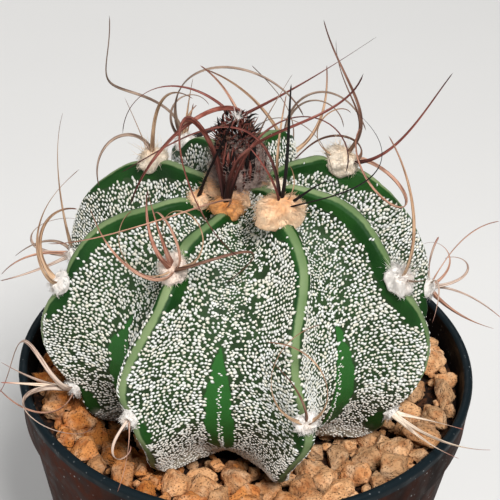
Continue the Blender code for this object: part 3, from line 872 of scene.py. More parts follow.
@dataclass(frozen=True)
class WoolPaint:
    """Felted wool with fine hairs."""

    wool: Wool

    def make(self, effects: Effects) -> Material:
        """Build the material from the hairs' tint and the cushion's depth.

        Args:
            effects: Shared node groups.

        Returns:
            The material.
        """
        pale, deep = self.wool.value
        constants = {"Sheen Weight": 0.15, "Sheen Roughness": 0.5, "Specular IOR Level": 0.1}
        kit = Paint("wool_" + self.wool.name.lower(), effects, constants)
        hair = kit.place(effects.fibres, Scale=2600.0, Tangle=1.5)
        warm = kit.patches(480.0, 0.5, 0.2)
        warmth = kit.plus(kit.times(kit.value("depth"), 0.55), kit.times(warm, 0.38))
        depth = kit.math("MINIMUM", warmth, 1.0)
        colour = kit.mix(depth, pale, deep)
        colour = kit.mix(kit.times(kit.value("tint"), 0.25), colour, tuple(0.8 * c for c in pale))
        colour = kit.mix(0.25, colour, kit.mix(hair, (0.55, 0.45, 0.36), (1.0, 1.0, 1.0)), "MULTIPLY")
        return kit.finish(colour, 0.95, hair, 0.25)


class Tone(Enum):
    """Colours of a spine at its root, middle and tip."""

    INK = ((0.010, 0.004, 0.004), (0.007, 0.004, 0.004), (0.012, 0.005, 0.005))
    RUST = ((0.010, 0.004, 0.004), (0.20, 0.052, 0.038), (0.040, 0.012, 0.010))
    SALMON = ((0.040, 0.012, 0.010), (0.25, 0.070, 0.048), (0.035, 0.010, 0.009))
    COPPER = ((0.22, 0.095, 0.062), (0.42, 0.185, 0.125), (0.09, 0.028, 0.020))
    ROSE = ((0.42, 0.23, 0.155), (0.52, 0.28, 0.19), (0.26, 0.10, 0.065))
    SAND = ((0.50, 0.33, 0.20), (0.46, 0.285, 0.17), (0.20, 0.080, 0.045))
    BROWN = ((0.15, 0.075, 0.045), (0.19, 0.092, 0.060), (0.075, 0.028, 0.022))
    GREY = ((0.24, 0.165, 0.12), (0.33, 0.235, 0.175), (0.12, 0.065, 0.045))
    ASHEN = ((0.68, 0.55, 0.45), (0.56, 0.41, 0.325), (0.34, 0.150, 0.110))
    IVORY = ((0.90, 0.77, 0.62), (0.86, 0.68, 0.52), (0.44, 0.13, 0.095))


@dataclass(frozen=True)
class SpinePaint:
    """Papery spines with long pale and dark lines."""

    def make(self, effects: Effects) -> Material:
        """Build the material from the blades' tone, run and turn.

        Args:
            effects: Shared node groups.

        Returns:
            The material.
        """
        kit = Paint("spine_paper", effects, {"Specular IOR Level": 0.2})
        tone = kit.node("ShaderNodeAttribute", attribute_name="tone").outputs["Color"]
        lines = kit.node("ShaderNodeCombineXYZ", {"X": kit.times(kit.value("turn"), 9.0),
                                                  "Y": kit.times(kit.value("run"), 0.16),
                                                  "Z": kit.times(kit.value("lot"), 40.0)}).outputs[0]
        streak = kit.cloud(lines, 1.0, 3.0)
        wear_and_shade = kit.mix(1.0, tone, (0.36, 0.31, 0.30), "MULTIPLY")
        colour = kit.mix(kit.step(streak, 0.42, 0.64), tone, wear_and_shade)
        light = kit.step(kit.node("ShaderNodeSeparateColor", {0: tone}).outputs[0], 0.05, 0.30)
        pale = kit.times(kit.step(streak, 0.50, 0.30), kit.times(light, 0.30))
        colour = kit.mix(pale, colour, kit.mix(0.5, tone, (0.80, 0.62, 0.50)))
        return kit.finish(colour, kit.plus(0.45, kit.times(streak, 0.3)), streak, 0.12)


@dataclass(frozen=True)
class StonePaint:
    """Porous gravel, deeper orange to the left and paler tan to the right; the darker left is partly
    painted shade.
    """

    orange: Colour = (0.56, 0.195, 0.040)
    tan: Colour = (0.66, 0.37, 0.18)
    pale: Colour = (0.80, 0.56, 0.36)
    pore: Colour = (0.075, 0.024, 0.009)

    def make(self, effects: Effects) -> Material:
        """Build the material from the stones' tint and place.

        Args:
            effects: Shared node groups.

        Returns:
            The material.
        """
        kit = Paint("gravel_stone", effects, {"Specular IOR Level": 0.25})
        place = kit.node("ShaderNodeSeparateXYZ", {0: kit.here}).outputs
        tint = kit.value("tint")
        lot = kit.times(kit.minus(tint, 0.5), 1.0)
        # Partly painted shade: the stones grow darker and more orange towards the left.
        colour_and_shade_drift = kit.plus(kit.step(place["X"], -0.06, 0.05), lot)
        colour = kit.mix(kit.step(colour_and_shade_drift, -0.1, 1.1), self.orange, self.tan)
        dust = kit.patches(210.0, 0.42, 0.15)
        colour = kit.mix(kit.times(dust, 0.55), colour, self.pale)
        stain = kit.patches(300.0, 0.42, 0.14)
        stained = kit.mix(1.0, colour, (0.62, 0.40, 0.24), "MULTIPLY")
        colour = kit.mix(kit.times(stain, 0.75), colour, stained)
        dull = kit.plus(0.68, kit.times(kit.math("FRACT", kit.times(tint, 7.3)), 0.36))
        shade = kit.node("ShaderNodeCombineColor", {0: dull, 1: dull, 2: dull}).outputs[0]
        colour = kit.mix(1.0, colour, shade, "MULTIPLY")
        large = kit.minus(1.0, kit.step(kit.cells(kit.here, 900.0), 0.10, 0.22))
        small = kit.minus(1.0, kit.step(kit.cells(kit.here, 1900.0), 0.12, 0.28))
        some = kit.patches(260.0, 0.5, 0.08)
        pores = kit.math("MAXIMUM", kit.times(large, some), kit.times(small, 0.35))
        colour = kit.mix(kit.times(pores, 0.65), colour, self.pore)
        height = kit.minus(kit.place(effects.grain, Scale=900.0, Pits=0.7, Pit_Scale=1250.0), pores)
        return kit.finish(colour, 0.92, height, 0.6)


@dataclass(frozen=True)
class SoilPaint:
    """Dark crumbly mix under the gravel."""

    name: str = "mix_soil"
    dark: Colour = (0.016, 0.009, 0.006)
    light: Colour = (0.085, 0.045, 0.024)

    def make(self, effects: Effects) -> Material:
        """Build the material.

        Args:
            effects: Shared node groups.

        Returns:
            The material.
        """
        kit = Paint(self.name, effects, {"Specular IOR Level": 0.2})
        crumbs = kit.patches(520.0, 0.45, 0.12)
        height = kit.place(effects.grain, Scale=700.0, Pits=0.8, Pit_Scale=600.0)
        return kit.finish(kit.mix(crumbs, self.dark, self.light), 0.97, height, 0.6)


@dataclass(frozen=True)
class PotPaint:
    """Black nursery plastic with a blue-black lip, rusty stains, grey dust and painted shade on its inner
    wall.
    """

    black: Colour = (0.007, 0.003, 0.002)
    lip: Colour = (0.005, 0.010, 0.013)
    rust: Colour = (0.056, 0.013, 0.005)
    dust: Colour = (0.064, 0.030, 0.022)
    # Painted shade on the pot's inner wall.
    inside: Colour = (0.004, 0.003, 0.003)
    lip_height: float = 96.4

    def make(self, effects: Effects) -> Material:
        """Build the material from the height above the pot's base.

        Args:
            effects: Shared node groups.

        Returns:
            The material.
        """
        kit = Paint("pot_plastic", effects, {"Specular IOR Level": 0.12, "IOR": 1.4})
        height = kit.node("ShaderNodeSeparateXYZ", {0: kit.here}).outputs["Z"]
        lip = kit.step(height, self.lip_height * MM, (self.lip_height + 0.8) * MM)
        runs = kit.patches(75.0, 0.50, 0.2, kit.stretched(0.22))
        blots = kit.patches(240.0, 0.52, 0.16)
        colour = kit.mix(kit.times(runs, kit.plus(0.35, kit.times(blots, 0.65))), self.black, self.rust)
        smear = kit.patches(60.0, 0.37, 0.09, kit.stretched(0.35))
        smear = kit.times(smear, kit.plus(0.25, kit.times(blots, 0.3)))
        colour = kit.mix(smear, colour, self.dust)
        colour = kit.mix(lip, colour, self.lip)
        # Painted shade: the inner wall is darker and free of the outer stains.
        colour = kit.mix(kit.value("inside"), colour, self.inside)
        specks = kit.minus(1.0, kit.step(kit.cells(kit.here, 520.0), 0.08, 0.17))
        scuff = kit.patches(300.0, 0.42, 0.1)
        specks = kit.times(specks, kit.plus(0.12, kit.times(scuff, 0.5)))
        colour = kit.mix(specks, colour, (0.48, 0.50, 0.50))
        rough = kit.plus(kit.times(lip, -0.16), kit.plus(0.6, kit.times(blots, 0.2)))
        return kit.finish(colour, rough, kit.place(effects.grain, Scale=900.0), 0.05)


# Shape of the plant
def ease(low: float, high: float, value: float) -> float:
    """0 below low, 1 above high and a smooth step between them."""
    part = min(max((value - low) / (high - low), 0.0), 1.0)
    return part * part * (3 - 2 * part)


def spline(line: list[tuple], place: float) -> tuple:
    """The point at a place from 0 to 1 on a smooth curve through the points of a line.

    Args:
        line: The line's points.
        place: The place.

    Returns:
        The point.
    """
    count = len(line) - 1
    scaled = min(max(place, 0.0), 1.0) * count
    first = min(int(scaled), count - 1)
    t = scaled - first
    before, start, end, after = (line[min(max(first + k, 0), count)] for k in (-1, 0, 1, 2))
    return tuple(
        0.5 * (2 * q + (r - p) * t + (2 * p - 5 * q + 4 * r - s) * t ** 2
               + (3 * q - p - 3 * r + s) * t ** 3)
        for p, q, r, s in zip(before, start, end, after)
    )


@dataclass(frozen=True)
class Rib:
    """A rib: its form, and the widths of the bare bands on its flanks before and after the ridge.

    The form is its angle, turn near the crown, reach, lift, wave phase and the groove before it. A band
    beside the ridge ends at a place along the rib, and one beside each groove starts lower down.
    """

    name: str
    angle: float
    turn: float
    reach: float
    lift: float
    phase: float
    groove: float
    band: Pair
    band_end: float
    valley: Pair


@dataclass(frozen=True)
class Areole:
    """An areole: its rib and place, the half sizes of its wool, its colours, its longer wisps and the
    spread of the bare place round it."""

    rib: str
    place: float
    across: float
    along: float
    out: float
    wool: Wool = Wool.WHITE
    wisps: float = 0.0
    bare: float = 0.84


RIBS = [
    Rib("e", -154, 0, 0.98, -3.0, 0.90, -180, (1.6, 2.2), 0.34, (3.0, 3.0)),
    Rib("d", -120, 2, 1.03, -5.0, 0.60, -138, (1.2, 3.6), 0.34, (3.0, 3.0)),
    Rib("c", -76, 8, 0.98, -7.0, 0.30, -96, (1.0, 3.8), 0.38, (3.0, 8.5)),
    Rib("b", -30, 14, 0.98, -6.0, 0.55, -50, (2.2, 1.6), 0.28, (2.4, 4.6)),
    Rib("a", 19, 14, 1.00, 0.0, 0.76, -6, (1.3, 0.5), 0.36, (4.0, 2.2)),
    Rib("h", 67, -8, 0.99, -1.0, 0.00, 45, (3.8, 0.4), 0.42, (6.0, 3.0)),
    Rib("g", 105, -4, 1.00, 0.0, 0.20, 86, (3.2, 0.8), 0.32, (3.0, 3.0)),
    Rib("f", 161, 0, 0.98, -1.0, 0.50, 130, (2.2, 2.2), 0.34, (3.0, 3.0)),
]
AREOLES = {key: Areole(key[0], *form) for key, form in {
    "a1": (0.215, 7.2, 5.4, 4.8, Wool.PEACH, 0.0, 0.55), "a2": (0.480, 3.6, 3.2, 2.6),
    "b1": (0.115, 4.4, 3.8, 3.2, Wool.ORANGE), "b2": (0.290, 3.8, 4.8, 3.2, Wool.BLUSH),
    "b3": (0.500, 2.4, 2.8, 2.2), "c1": (0.115, 3.4, 3.2, 2.6, Wool.PEACH), "c2": (0.395, 3.2, 3.6, 2.8),
    "c3": (0.580, 2.6, 2.8, 2.2, Wool.WHITE, 0.0, 1.15), "d1": (0.230, 4.8, 4.2, 3.6, Wool.CREAM, 1.0),
    "d2": (0.480, 2.6, 2.8, 2.2), "e1": (0.270, 3.2, 3.2, 2.6), "e2": (0.500, 2.6, 2.8, 2.2),
    "f1": (0.120, 3.2, 3.2, 2.6, Wool.CREAM), "f2": (0.360, 3.6, 3.6, 2.8), "f3": (0.540, 2.4, 2.6, 2.2),
    "g1": (0.235, 5.4, 4.8, 4.2, Wool.CREAM, 0.3), "g2": (0.480, 3.0, 3.2, 2.6),
    "h1": (0.115, 3.0, 3.0, 2.4, Wool.CREAM), "h2": (0.370, 4.4, 4.8, 3.6, Wool.WHITE, 1.2, 0.95),
    "h3": (0.585, 2.4, 2.6, 2.0, Wool.WHITE, 0.0, 1.2),
}.items()}


@dataclass(frozen=True)
class PlantShape:
    """The plant's form: where its ridges, grooves, skin and areoles lie."""

    axis: Pair = (-2.0, -4.0)
    lean: float = 4.0
    lean_to: float = -160.0
    lean_pivot: float = 90.0
    ridge_half: float = 1.9
    ridge_drop: float = 0.7
    flank_bulge: float = 3.0
    bulge_low: float = 1.25
    wave: float = 1.8
    wave_count: float = 4.8
    notch_depth: float = 1.8
    notch_width: float = 0.022
    ridge_share: float = 0.12
    wool_rise: float = 0.25
    twist_places: Pair = (0.1, 0.42)
    foot_places: Pair = (0.62, 0.78)
    ridge_line: tuple = (
        (0, 160), (5, 161), (10, 163.5), (16, 165.5), (23, 165.5), (31, 162.5), (39, 156.5),
        (46, 148), (52, 137.5), (56, 126), (56, 115), (52, 105.5), (47, 97), (42.5, 90.5),
        (37, 87.2), (29, 87), (21.5, 86), (17.4, 83.2), (17.5, 70), (16, 62), (0, 62),
    )
    groove_line: tuple = (
        (0, 160), (4, 159.5), (8, 158.5), (13, 157.5), (19, 155.5), (25, 151.5), (30.5, 146),
        (35, 139), (38, 131), (39.5, 122), (39.5, 113), (37.5, 104.5), (34, 97.5), (29, 92.5),
        (24, 89), (20, 86.8), (17.6, 84.2), (17.5, 80), (17.5, 70), (16, 62), (0, 62),
    )

    def leaned(self, point: Vector, place: float) -> Vector:
        """Lean a point with the plant, which stands straight again where it enters the mix.

        Args:
            point: The point, on a plant that stands upright.
            place: Its place along the rib.

        Returns:
            The leaned point.
        """
        heading = math.radians(self.lean_to)
        tilt = math.radians(self.lean) * (1 - ease(0.68, 0.80, place))
        towards = Vector((math.sin(heading), -math.cos(heading), 0.0))
        along = point.dot(towards)
        height = point.z - self.lean_pivot
        moved = point + towards * (along * math.cos(tilt) + height * math.sin(tilt) - along)
        moved.z = self.lean_pivot + height * math.cos(tilt) - along * math.sin(tilt)
        return moved + Vector((*self.axis, 0.0))

    def turn(self, rib: Rib, place: float) -> float:
        """Angle of a rib at a place, in radians."""
        return math.radians(rib.angle + rib.turn * (1 - ease(*self.twist_places, place)))

    def placed(self, line: tuple, place: float, reach: float, lift: float, turn: float,
               wave: float) -> Vector:
        """A point of a ridge or a groove.

        Args:
            line: Its line of radii and heights.
            place: The place along it, from 0 at the crown to 1 at the root.
            reach: Its reach.
            lift: Its lift.
            turn: Its angle, in radians.
            wave: How far it waves sideways.

        Returns:
            The point.
        """
        radius, height = spline(line, place)
        radius *= 1 + (reach - 1) * (1 - ease(*self.foot_places, place))
        height += lift * (1 - ease(0.2, 0.5, place)) * ease(0.0, 0.15, place)
        outward = Vector((math.sin(turn), -math.cos(turn), 0.0))
        sideways = Vector((math.cos(turn), math.sin(turn), 0.0))
        return self.leaned(outward * radius + sideways * wave + Vector((0, 0, height)), place)

    def ridge_point(self, rib: Rib, place: float) -> Vector:
        """A point of a rib's ridge.

        Args:
            rib: The rib.
            place: The place along it.

        Returns:
            The point.
        """
        wave = self.wave * math.sin(2 * math.pi * (self.wave_count * place + rib.phase))
        wave *= ease(0.1, 0.25, place) * (1 - ease(*self.foot_places, place))
        return self.placed(self.ridge_line, place, rib.reach, rib.lift, self.turn(rib, place), wave)

    def groove_point(self, before: Rib, rib: Rib, place: float) -> Vector:
        """A point of the groove between two ribs.

        Args:
            before: The rib before it.
            rib: The rib after it.
            place: The place along it.

        Returns:
            The point.
        """
        twisted = (before.turn + rib.turn) / 2 * (1 - ease(*self.twist_places, place))
        turn = math.radians(rib.groove + twisted)
        reach, lift = (before.reach + rib.reach) / 2, (before.lift + rib.lift) / 2
        return self.placed(self.groove_line, place, reach, lift, turn, 0.0)

    def ridge_frame(self, rib: Rib, place: float) -> tuple[Vector, Vector, Vector, Vector]:
        """The ridge's point with its outward, sideways and downward directions.

        Args:
            rib: The rib.
            place: The place along it.

        Returns:
            The point and the three directions.
        """
        step = 0.004
        point = self.ridge_point(rib, place)
        ahead = self.ridge_point(rib, min(place + step, 1.0))
        ahead -= self.ridge_point(rib, max(place - step, 0.0))
        down = ahead.normalized()
        turn = self.turn(rib, place)
        side = Vector((math.cos(turn), math.sin(turn), 0.0))
        side = (side - down * side.dot(down)).normalized()
        out = down.cross(side).normalized()
        borne = [areole for areole in AREOLES.values() if areole.rib == rib.name]
        gaps = [(place - areole.place) / self.notch_width for areole in borne]
        dips = sum(math.exp(-gap ** 2) for gap in gaps)
        return point - out * self.notch_depth * dips, out, side, down

    def skin_row(self, number: int, place: float, steps: list[float]) -> list[Vector]:
        """Points of the skin across one rib, at one place.

        Args:
            number: Number of the rib.
            place: The place along it.
            steps: Where across it, from -1 at the groove before it, over 0 at its ridge, to 1.

        Returns:
            The points.
        """
        rib = RIBS[number]
        ridge, out, side, down = self.ridge_frame(rib, place)
        before = self.groove_point(RIBS[number - 1], rib, place)
        behind = self.groove_point(rib, RIBS[(number + 1) % len(RIBS)], place)
        radius = spline(self.ridge_line, place)[0]
        half = self.ridge_half * min(1.0, radius / 14.0)
        bulge = self.flank_bulge * min(1.0, radius / 40.0) * (1 - ease(0.6, 0.75, place))
        row = []
        for across in steps:
            reach = min(abs(across) / self.ridge_share, 1.0)
            hand = 1.0 if across > 0 else -1.0
            point = ridge + side * hand * half * reach - out * self.ridge_drop * reach ** 2
            if abs(across) > self.ridge_share:
                part = (abs(across) - self.ridge_share) / (1 - self.ridge_share)
                run = (before if hand < 0 else behind) - point
                swell = run.cross(down) * hand
                swell = swell.normalized() if swell.length > 1e-6 else out
                point = point + run * part + swell * bulge * math.sin(math.pi * part ** self.bulge_low)
            row.append(point)
        return row

    def wool_frame(self, key: str) -> tuple[Vector, Vector, Vector, Vector]:
        """Middle of an areole's wool, with its half axes across the ridge, along it and out of it.

        Args:
            key: Name of the areole.

        Returns:
            The middle and the three half axes.
        """
        areole = AREOLES[key]
        rib = next(r for r in RIBS if r.name == areole.rib)
        point, out, side, down = self.ridge_frame(rib, areole.place)
        centre = point + out * areole.out * self.wool_rise
        return centre, side * areole.across, down * areole.along, out * areole.out


# The plant's body
@dataclass(frozen=True)
class FleckKind:
    """One kind of fleck: its corners, its spacing, the range of its sizes and how high it stands."""

    name: str
    corners: int
    spacing: float
    density: float
    sizes: Pair
    shapes: int = 10
    sunk: float = 0.05
    rise: float = 0.24


LARGE = FleckKind("large", 5, 0.88, 8.0e6, (0.90, 1.30))
FINE = FleckKind("fine", 4, 0.66, 1.2e7, (0.85, 1.30))


@dataclass
class PlantSkin:
    """The ribbed green body with its marks, and the white flecks that grow on it.

    At the crown and the root, where the ribs meet, pole is the distance from ridge and groove.
    """

    shape: PlantShape
    effects: Effects
    ridge_steps: int = 4
    flank_steps: int = 22
    crowding: float = 0.6
    rows_above: int = 116
    rows_below: int = 10
    crown_place: float = 0.054
    foot_place: float = 0.70
    root_place: float = 0.95
    stripe_half: float = 1.15
    edge_row: float = 0.7
    patch_shift: float = 0.026
    patch_margin: float = 2.4
    rib_length: float = 175.0
    thread: float = 0.45
    pole: float = 9.0

    def across_steps(self) -> list[float]:
        """Steps across a rib, closer at both edges.

        Returns:
            The steps, from the rib's first groove, -1, to just short of its second.
        """
        share = self.shape.ridge_share
        edge = [share * k / self.ridge_steps for k in range(self.ridge_steps)]
        flank = []
        for k in range(self.flank_steps + 1):
            part = k / self.flank_steps
            part -= self.crowding * math.sin(2 * math.pi * part) / (2 * math.pi)
            flank.append(share + (1 - share) * part)
        right = edge + flank
        return [-s for s in reversed(right)] + right[1:-1]

    def places(self) -> list[float]:
        """Places of the rows.

        Returns:
            The places, from the crown to the root.
        """
        above = [self.crown_place + (self.foot_place - self.crown_place) * k / self.rows_above
                 for k in range(self.rows_above)]
        below = [self.foot_place + (self.root_place - self.foot_place) * k / self.rows_below
                 for k in range(self.rows_below + 1)]
        return above + below

    def bare_depth(self, rib: Rib, flank: int, place: float, side: float, ragged: float) -> float:
        """How deep a point lies inside a bare place, in millimetres; below zero it lies outside.

        Args:
            rib: Its rib.
            flank: Which flank of the rib, 0 before its ridge or 1 after it.
            place: Place along the rib.
            side: Distance from the ridge.
            ragged: Unevenness of the edges.

        Returns:
            The depth.
        """
        fade = (1 - ease(rib.band_end - 0.06, rib.band_end + 0.05, place)) * ease(0.055, 0.10, place)
        depth = self.stripe_half + rib.band[flank] * fade * (1 + 0.35 * ragged) - side
        for areole in AREOLES.values():
            if areole.rib == rib.name:
                along = (place - areole.place - self.patch_shift) * self.rib_length
                wide = areole.across + self.patch_margin
                reach = math.hypot(along / (areole.along + self.patch_margin), side / wide)
                depth = max(depth, (areole.bare - reach - 0.16 * ragged) * wide)
        return depth

    def marks(self, point: Vector, number: int, hand: float, place: float, side: float,
              valley: float) -> dict[str, float]:
        """What the skin shows at a point.

        Args:
            point: The point.
            number: Number of its rib.
            hand: Which flank of the rib, -1 or 1.
            place: Place along the rib.
            side: Distance from the ridge.
            valley: Distance from the groove.

        Returns:
            The depths inside stripe and bare places, the foot, its crust, and the covers and sizes of the
            two kinds of fleck.
        """
        ragged = noise.noise(point * 0.16) * 1.1 + noise.noise(point * 0.45) * 0.55
        stripe = self.stripe_half + 0.25 * ragged - side
        flank = 1 if hand > 0 else 0
        width = RIBS[number].valley[flank] * ease(0.35, 0.50, place) * (1 - ease(0.60, 0.65, place))
        groove = width * (1 + 0.25 * ragged) - 0.5 - valley
        bare = max(groove, self.bare_depth(RIBS[number], flank, place, side, ragged))
        foot = ease(0.51, 0.57, place + 0.02 * ragged)
        rim = 1 - ease(0.70, 0.74, place)
        sparse = 1 - 0.10 * ease(0.05, 0.35, noise.noise(point * 0.06 + Vector((7, 3, 1))))
        fold = (1 - ease(3.0, 11.0, valley + 2.5 * ragged)) * (1 - ease(0.30, 0.44, place))
        fine = max(0.85 * foot, 0.9 * fold)
        line = (1 - ease(0.7 * self.thread, 1.5 * self.thread, valley)) * ease(0.42, 0.47, place)
        clear = ease(-0.15, 0.45, -bare)
        large = clear * sparse * (1 - fine)
        row = ease(-0.25, 0.15, ragged) * (0.15 + 0.75 * ease(0.30, 0.50, place))
        edge = row if -self.edge_row < stripe < -0.1 else 0.0
        return {
            "stripe": stripe,
            "bare": bare,
            "valley": groove,
            "foot": foot,
            "crust": 0.6 * ease(0.61, 0.66, place + 0.03 * ragged) * rim,
            "cover_large": large * rim,
            "size_large": 1.04 + 0.22 * noise.noise(point * 0.09) - 0.12 * foot,
            "cover_fine": max(clear * fine, line, edge) * rim,
            "size_fine": 0.78 + 0.10 * noise.noise(point * 0.12) - 0.14 * line + 0.06 * foot,
        }

    def build(self) -> Object:
        """Build the body.

        Returns:
            The body, with its marks stored for its finish and its flecks.
        """
        steps = self.across_steps()
        middle = steps.index(0.0)
        crown, root = (self.shape.ridge_point(RIBS[0], end) for end in (0.0, 1.0))
        points: list = [crown]
        marks: list = [self.marks(crown, 0, 1.0, 0.0, self.pole, self.pole)]
        lies: list = [(1.0, 0.0, 0.0)]
        places = self.places()
        for place in places:
            for number in range(len(RIBS)):
                row = self.shape.skin_row(number, place, steps + [1.0])
                run = [0.0]
                for k in range(1, len(row)):
                    run.append(run[-1] + (row[k] - row[k - 1]).length)
                for k, across in enumerate(steps):
                    hand = 1.0 if across > 0 else -1.0
                    valley = run[-1] - run[k] if hand > 0 else run[k]
                    marks.append(self.marks(row[k], number, hand, place, abs(run[k] - run[middle]), valley))
                    lies.append(tuple((row[k + 1] - row[max(k - 1, 0)]).normalized()))
                    points.append(self.roughened(row[k]))
        points.append(root)
        marks.append(self.marks(root, 0, 1.0, 1.0, self.pole, self.pole))
        lies.append(lies[0])
        faces = [(face[0], *face[:0:-1]) for face in ring_faces(len(places), len(steps) * len(RIBS))]
        made = mesh_object("body_skin", points, faces, SkinPaint().make(self.effects))
        for name in marks[0]:
            store(made, name, [values[name] for values in marks])
        store(made, "lie", lies, "FLOAT_VECTOR")
        return put(made, "skin", "cactus_body")

    def roughened(self, point: Vector) -> Vector:
        """A point of the skin, moved a little in or out.

        Args:
            point: The point.

        Returns:
            The moved point.
        """
        rough = 0.22 * noise.noise(point * 0.22) + 0.10 * noise.noise(point * 0.7)
        x, y = self.shape.axis
        out = Vector((point.x - x, point.y - y, 0.35 * (point.z - self.shape.groove_line[8][1])))
        return point + out.normalized() * rough

    def fleck_shapes(self, kind: FleckKind) -> Collection:
        """Low ragged tufts of wool, in a collection that is never shown.

        Args:
            kind: Which kind of fleck.

        Returns:
            The collection.
        """
        rng = random.Random("fleck " + kind.name)
        count = kind.corners
        bodies = []
        for _ in range(kind.shapes):
            long = 0.5 * rng.uniform(1.1, 1.6)
            wide = 0.5 * rng.uniform(0.85, 1.1)
            points = []
            for k in range(count):
                turn = 2 * math.pi * (k + rng.uniform(-0.2, 0.2)) / count
                far = rng.uniform(0.85, 1.15)
                points.append((long * far * math.cos(turn), wide * far * math.sin(turn), -kind.sunk))
            points.append((rng.uniform(-0.12, 0.12), rng.uniform(-0.1, 0.1), kind.rise))
            faces = [(k, (k + 1) % count, count) for k in range(count)] + [tuple(reversed(range(count)))]
            bodies.append((points, faces))
        return shape_set("fleck_" + kind.name, bodies)

    def flecks(self, skin: Object) -> list[Object]:
        """Strew the flecks over the skin.

        Args:
            skin: The body's mesh.

        Returns:
            The flecks, in pieces for each side of the plant.
        """
        tree = strewn_tree("flecks", Spread.EVEN, FleckPaint().make(self.effects))
        shapes = {kind: self.fleck_shapes(kind) for kind in (LARGE, FINE)}
        verts = skin.data.vertices
        x, y = (c * MM for c in self.shape.axis)
        made = []
        for side, hand in (("left", -1.0), ("right", 1.0)):
            for end, back in (("front", -1.0), ("back", 1.0)):
                label = "%s_%s" % (side, end)
                inside = [(v.co.x - x) * hand >= 0 and (v.co.y - y) * back >= 0 for v in verts]
                pieces = []
                for kind, copies in shapes.items():
                    cover = skin.data.attributes["cover_" + kind.name].data
                    kept = [item.value if here else 0.0 for item, here in zip(cover, inside)]
                    store(skin, "here", kept)
                    settings = {
                        "Shapes": copies, "Cover": "here", "Size": "size_" + kind.name,
                        "Spacing": kind.spacing * MM, "Density": kind.density, "Smallest": kind.sizes[0],
                        "Largest": kind.sizes[1], "Swing": 0.6, "Lean": 0.0, "Lean Spread": 0.12, "Seed": 3,
                    }
                    pieces.append(baked(skin, "flecks", tree, settings))
                    skin.data.attributes.remove(skin.data.attributes["here"])
                made.append(put(joined("flecks_" + label, pieces), "wool"))
        for copies in shapes.values():
            cleared(copies)
        return made


# Areoles
@dataclass(frozen=True)
class Spine:
    """A spine: the way it sets off, its length, its bend and corkscrew, its width and its colours."""

    angle: float
    rise: float
    length: float
    bend: float
    side: float
    late: float
    screw: float
    width: float
    tone: Tone = Tone.SAND


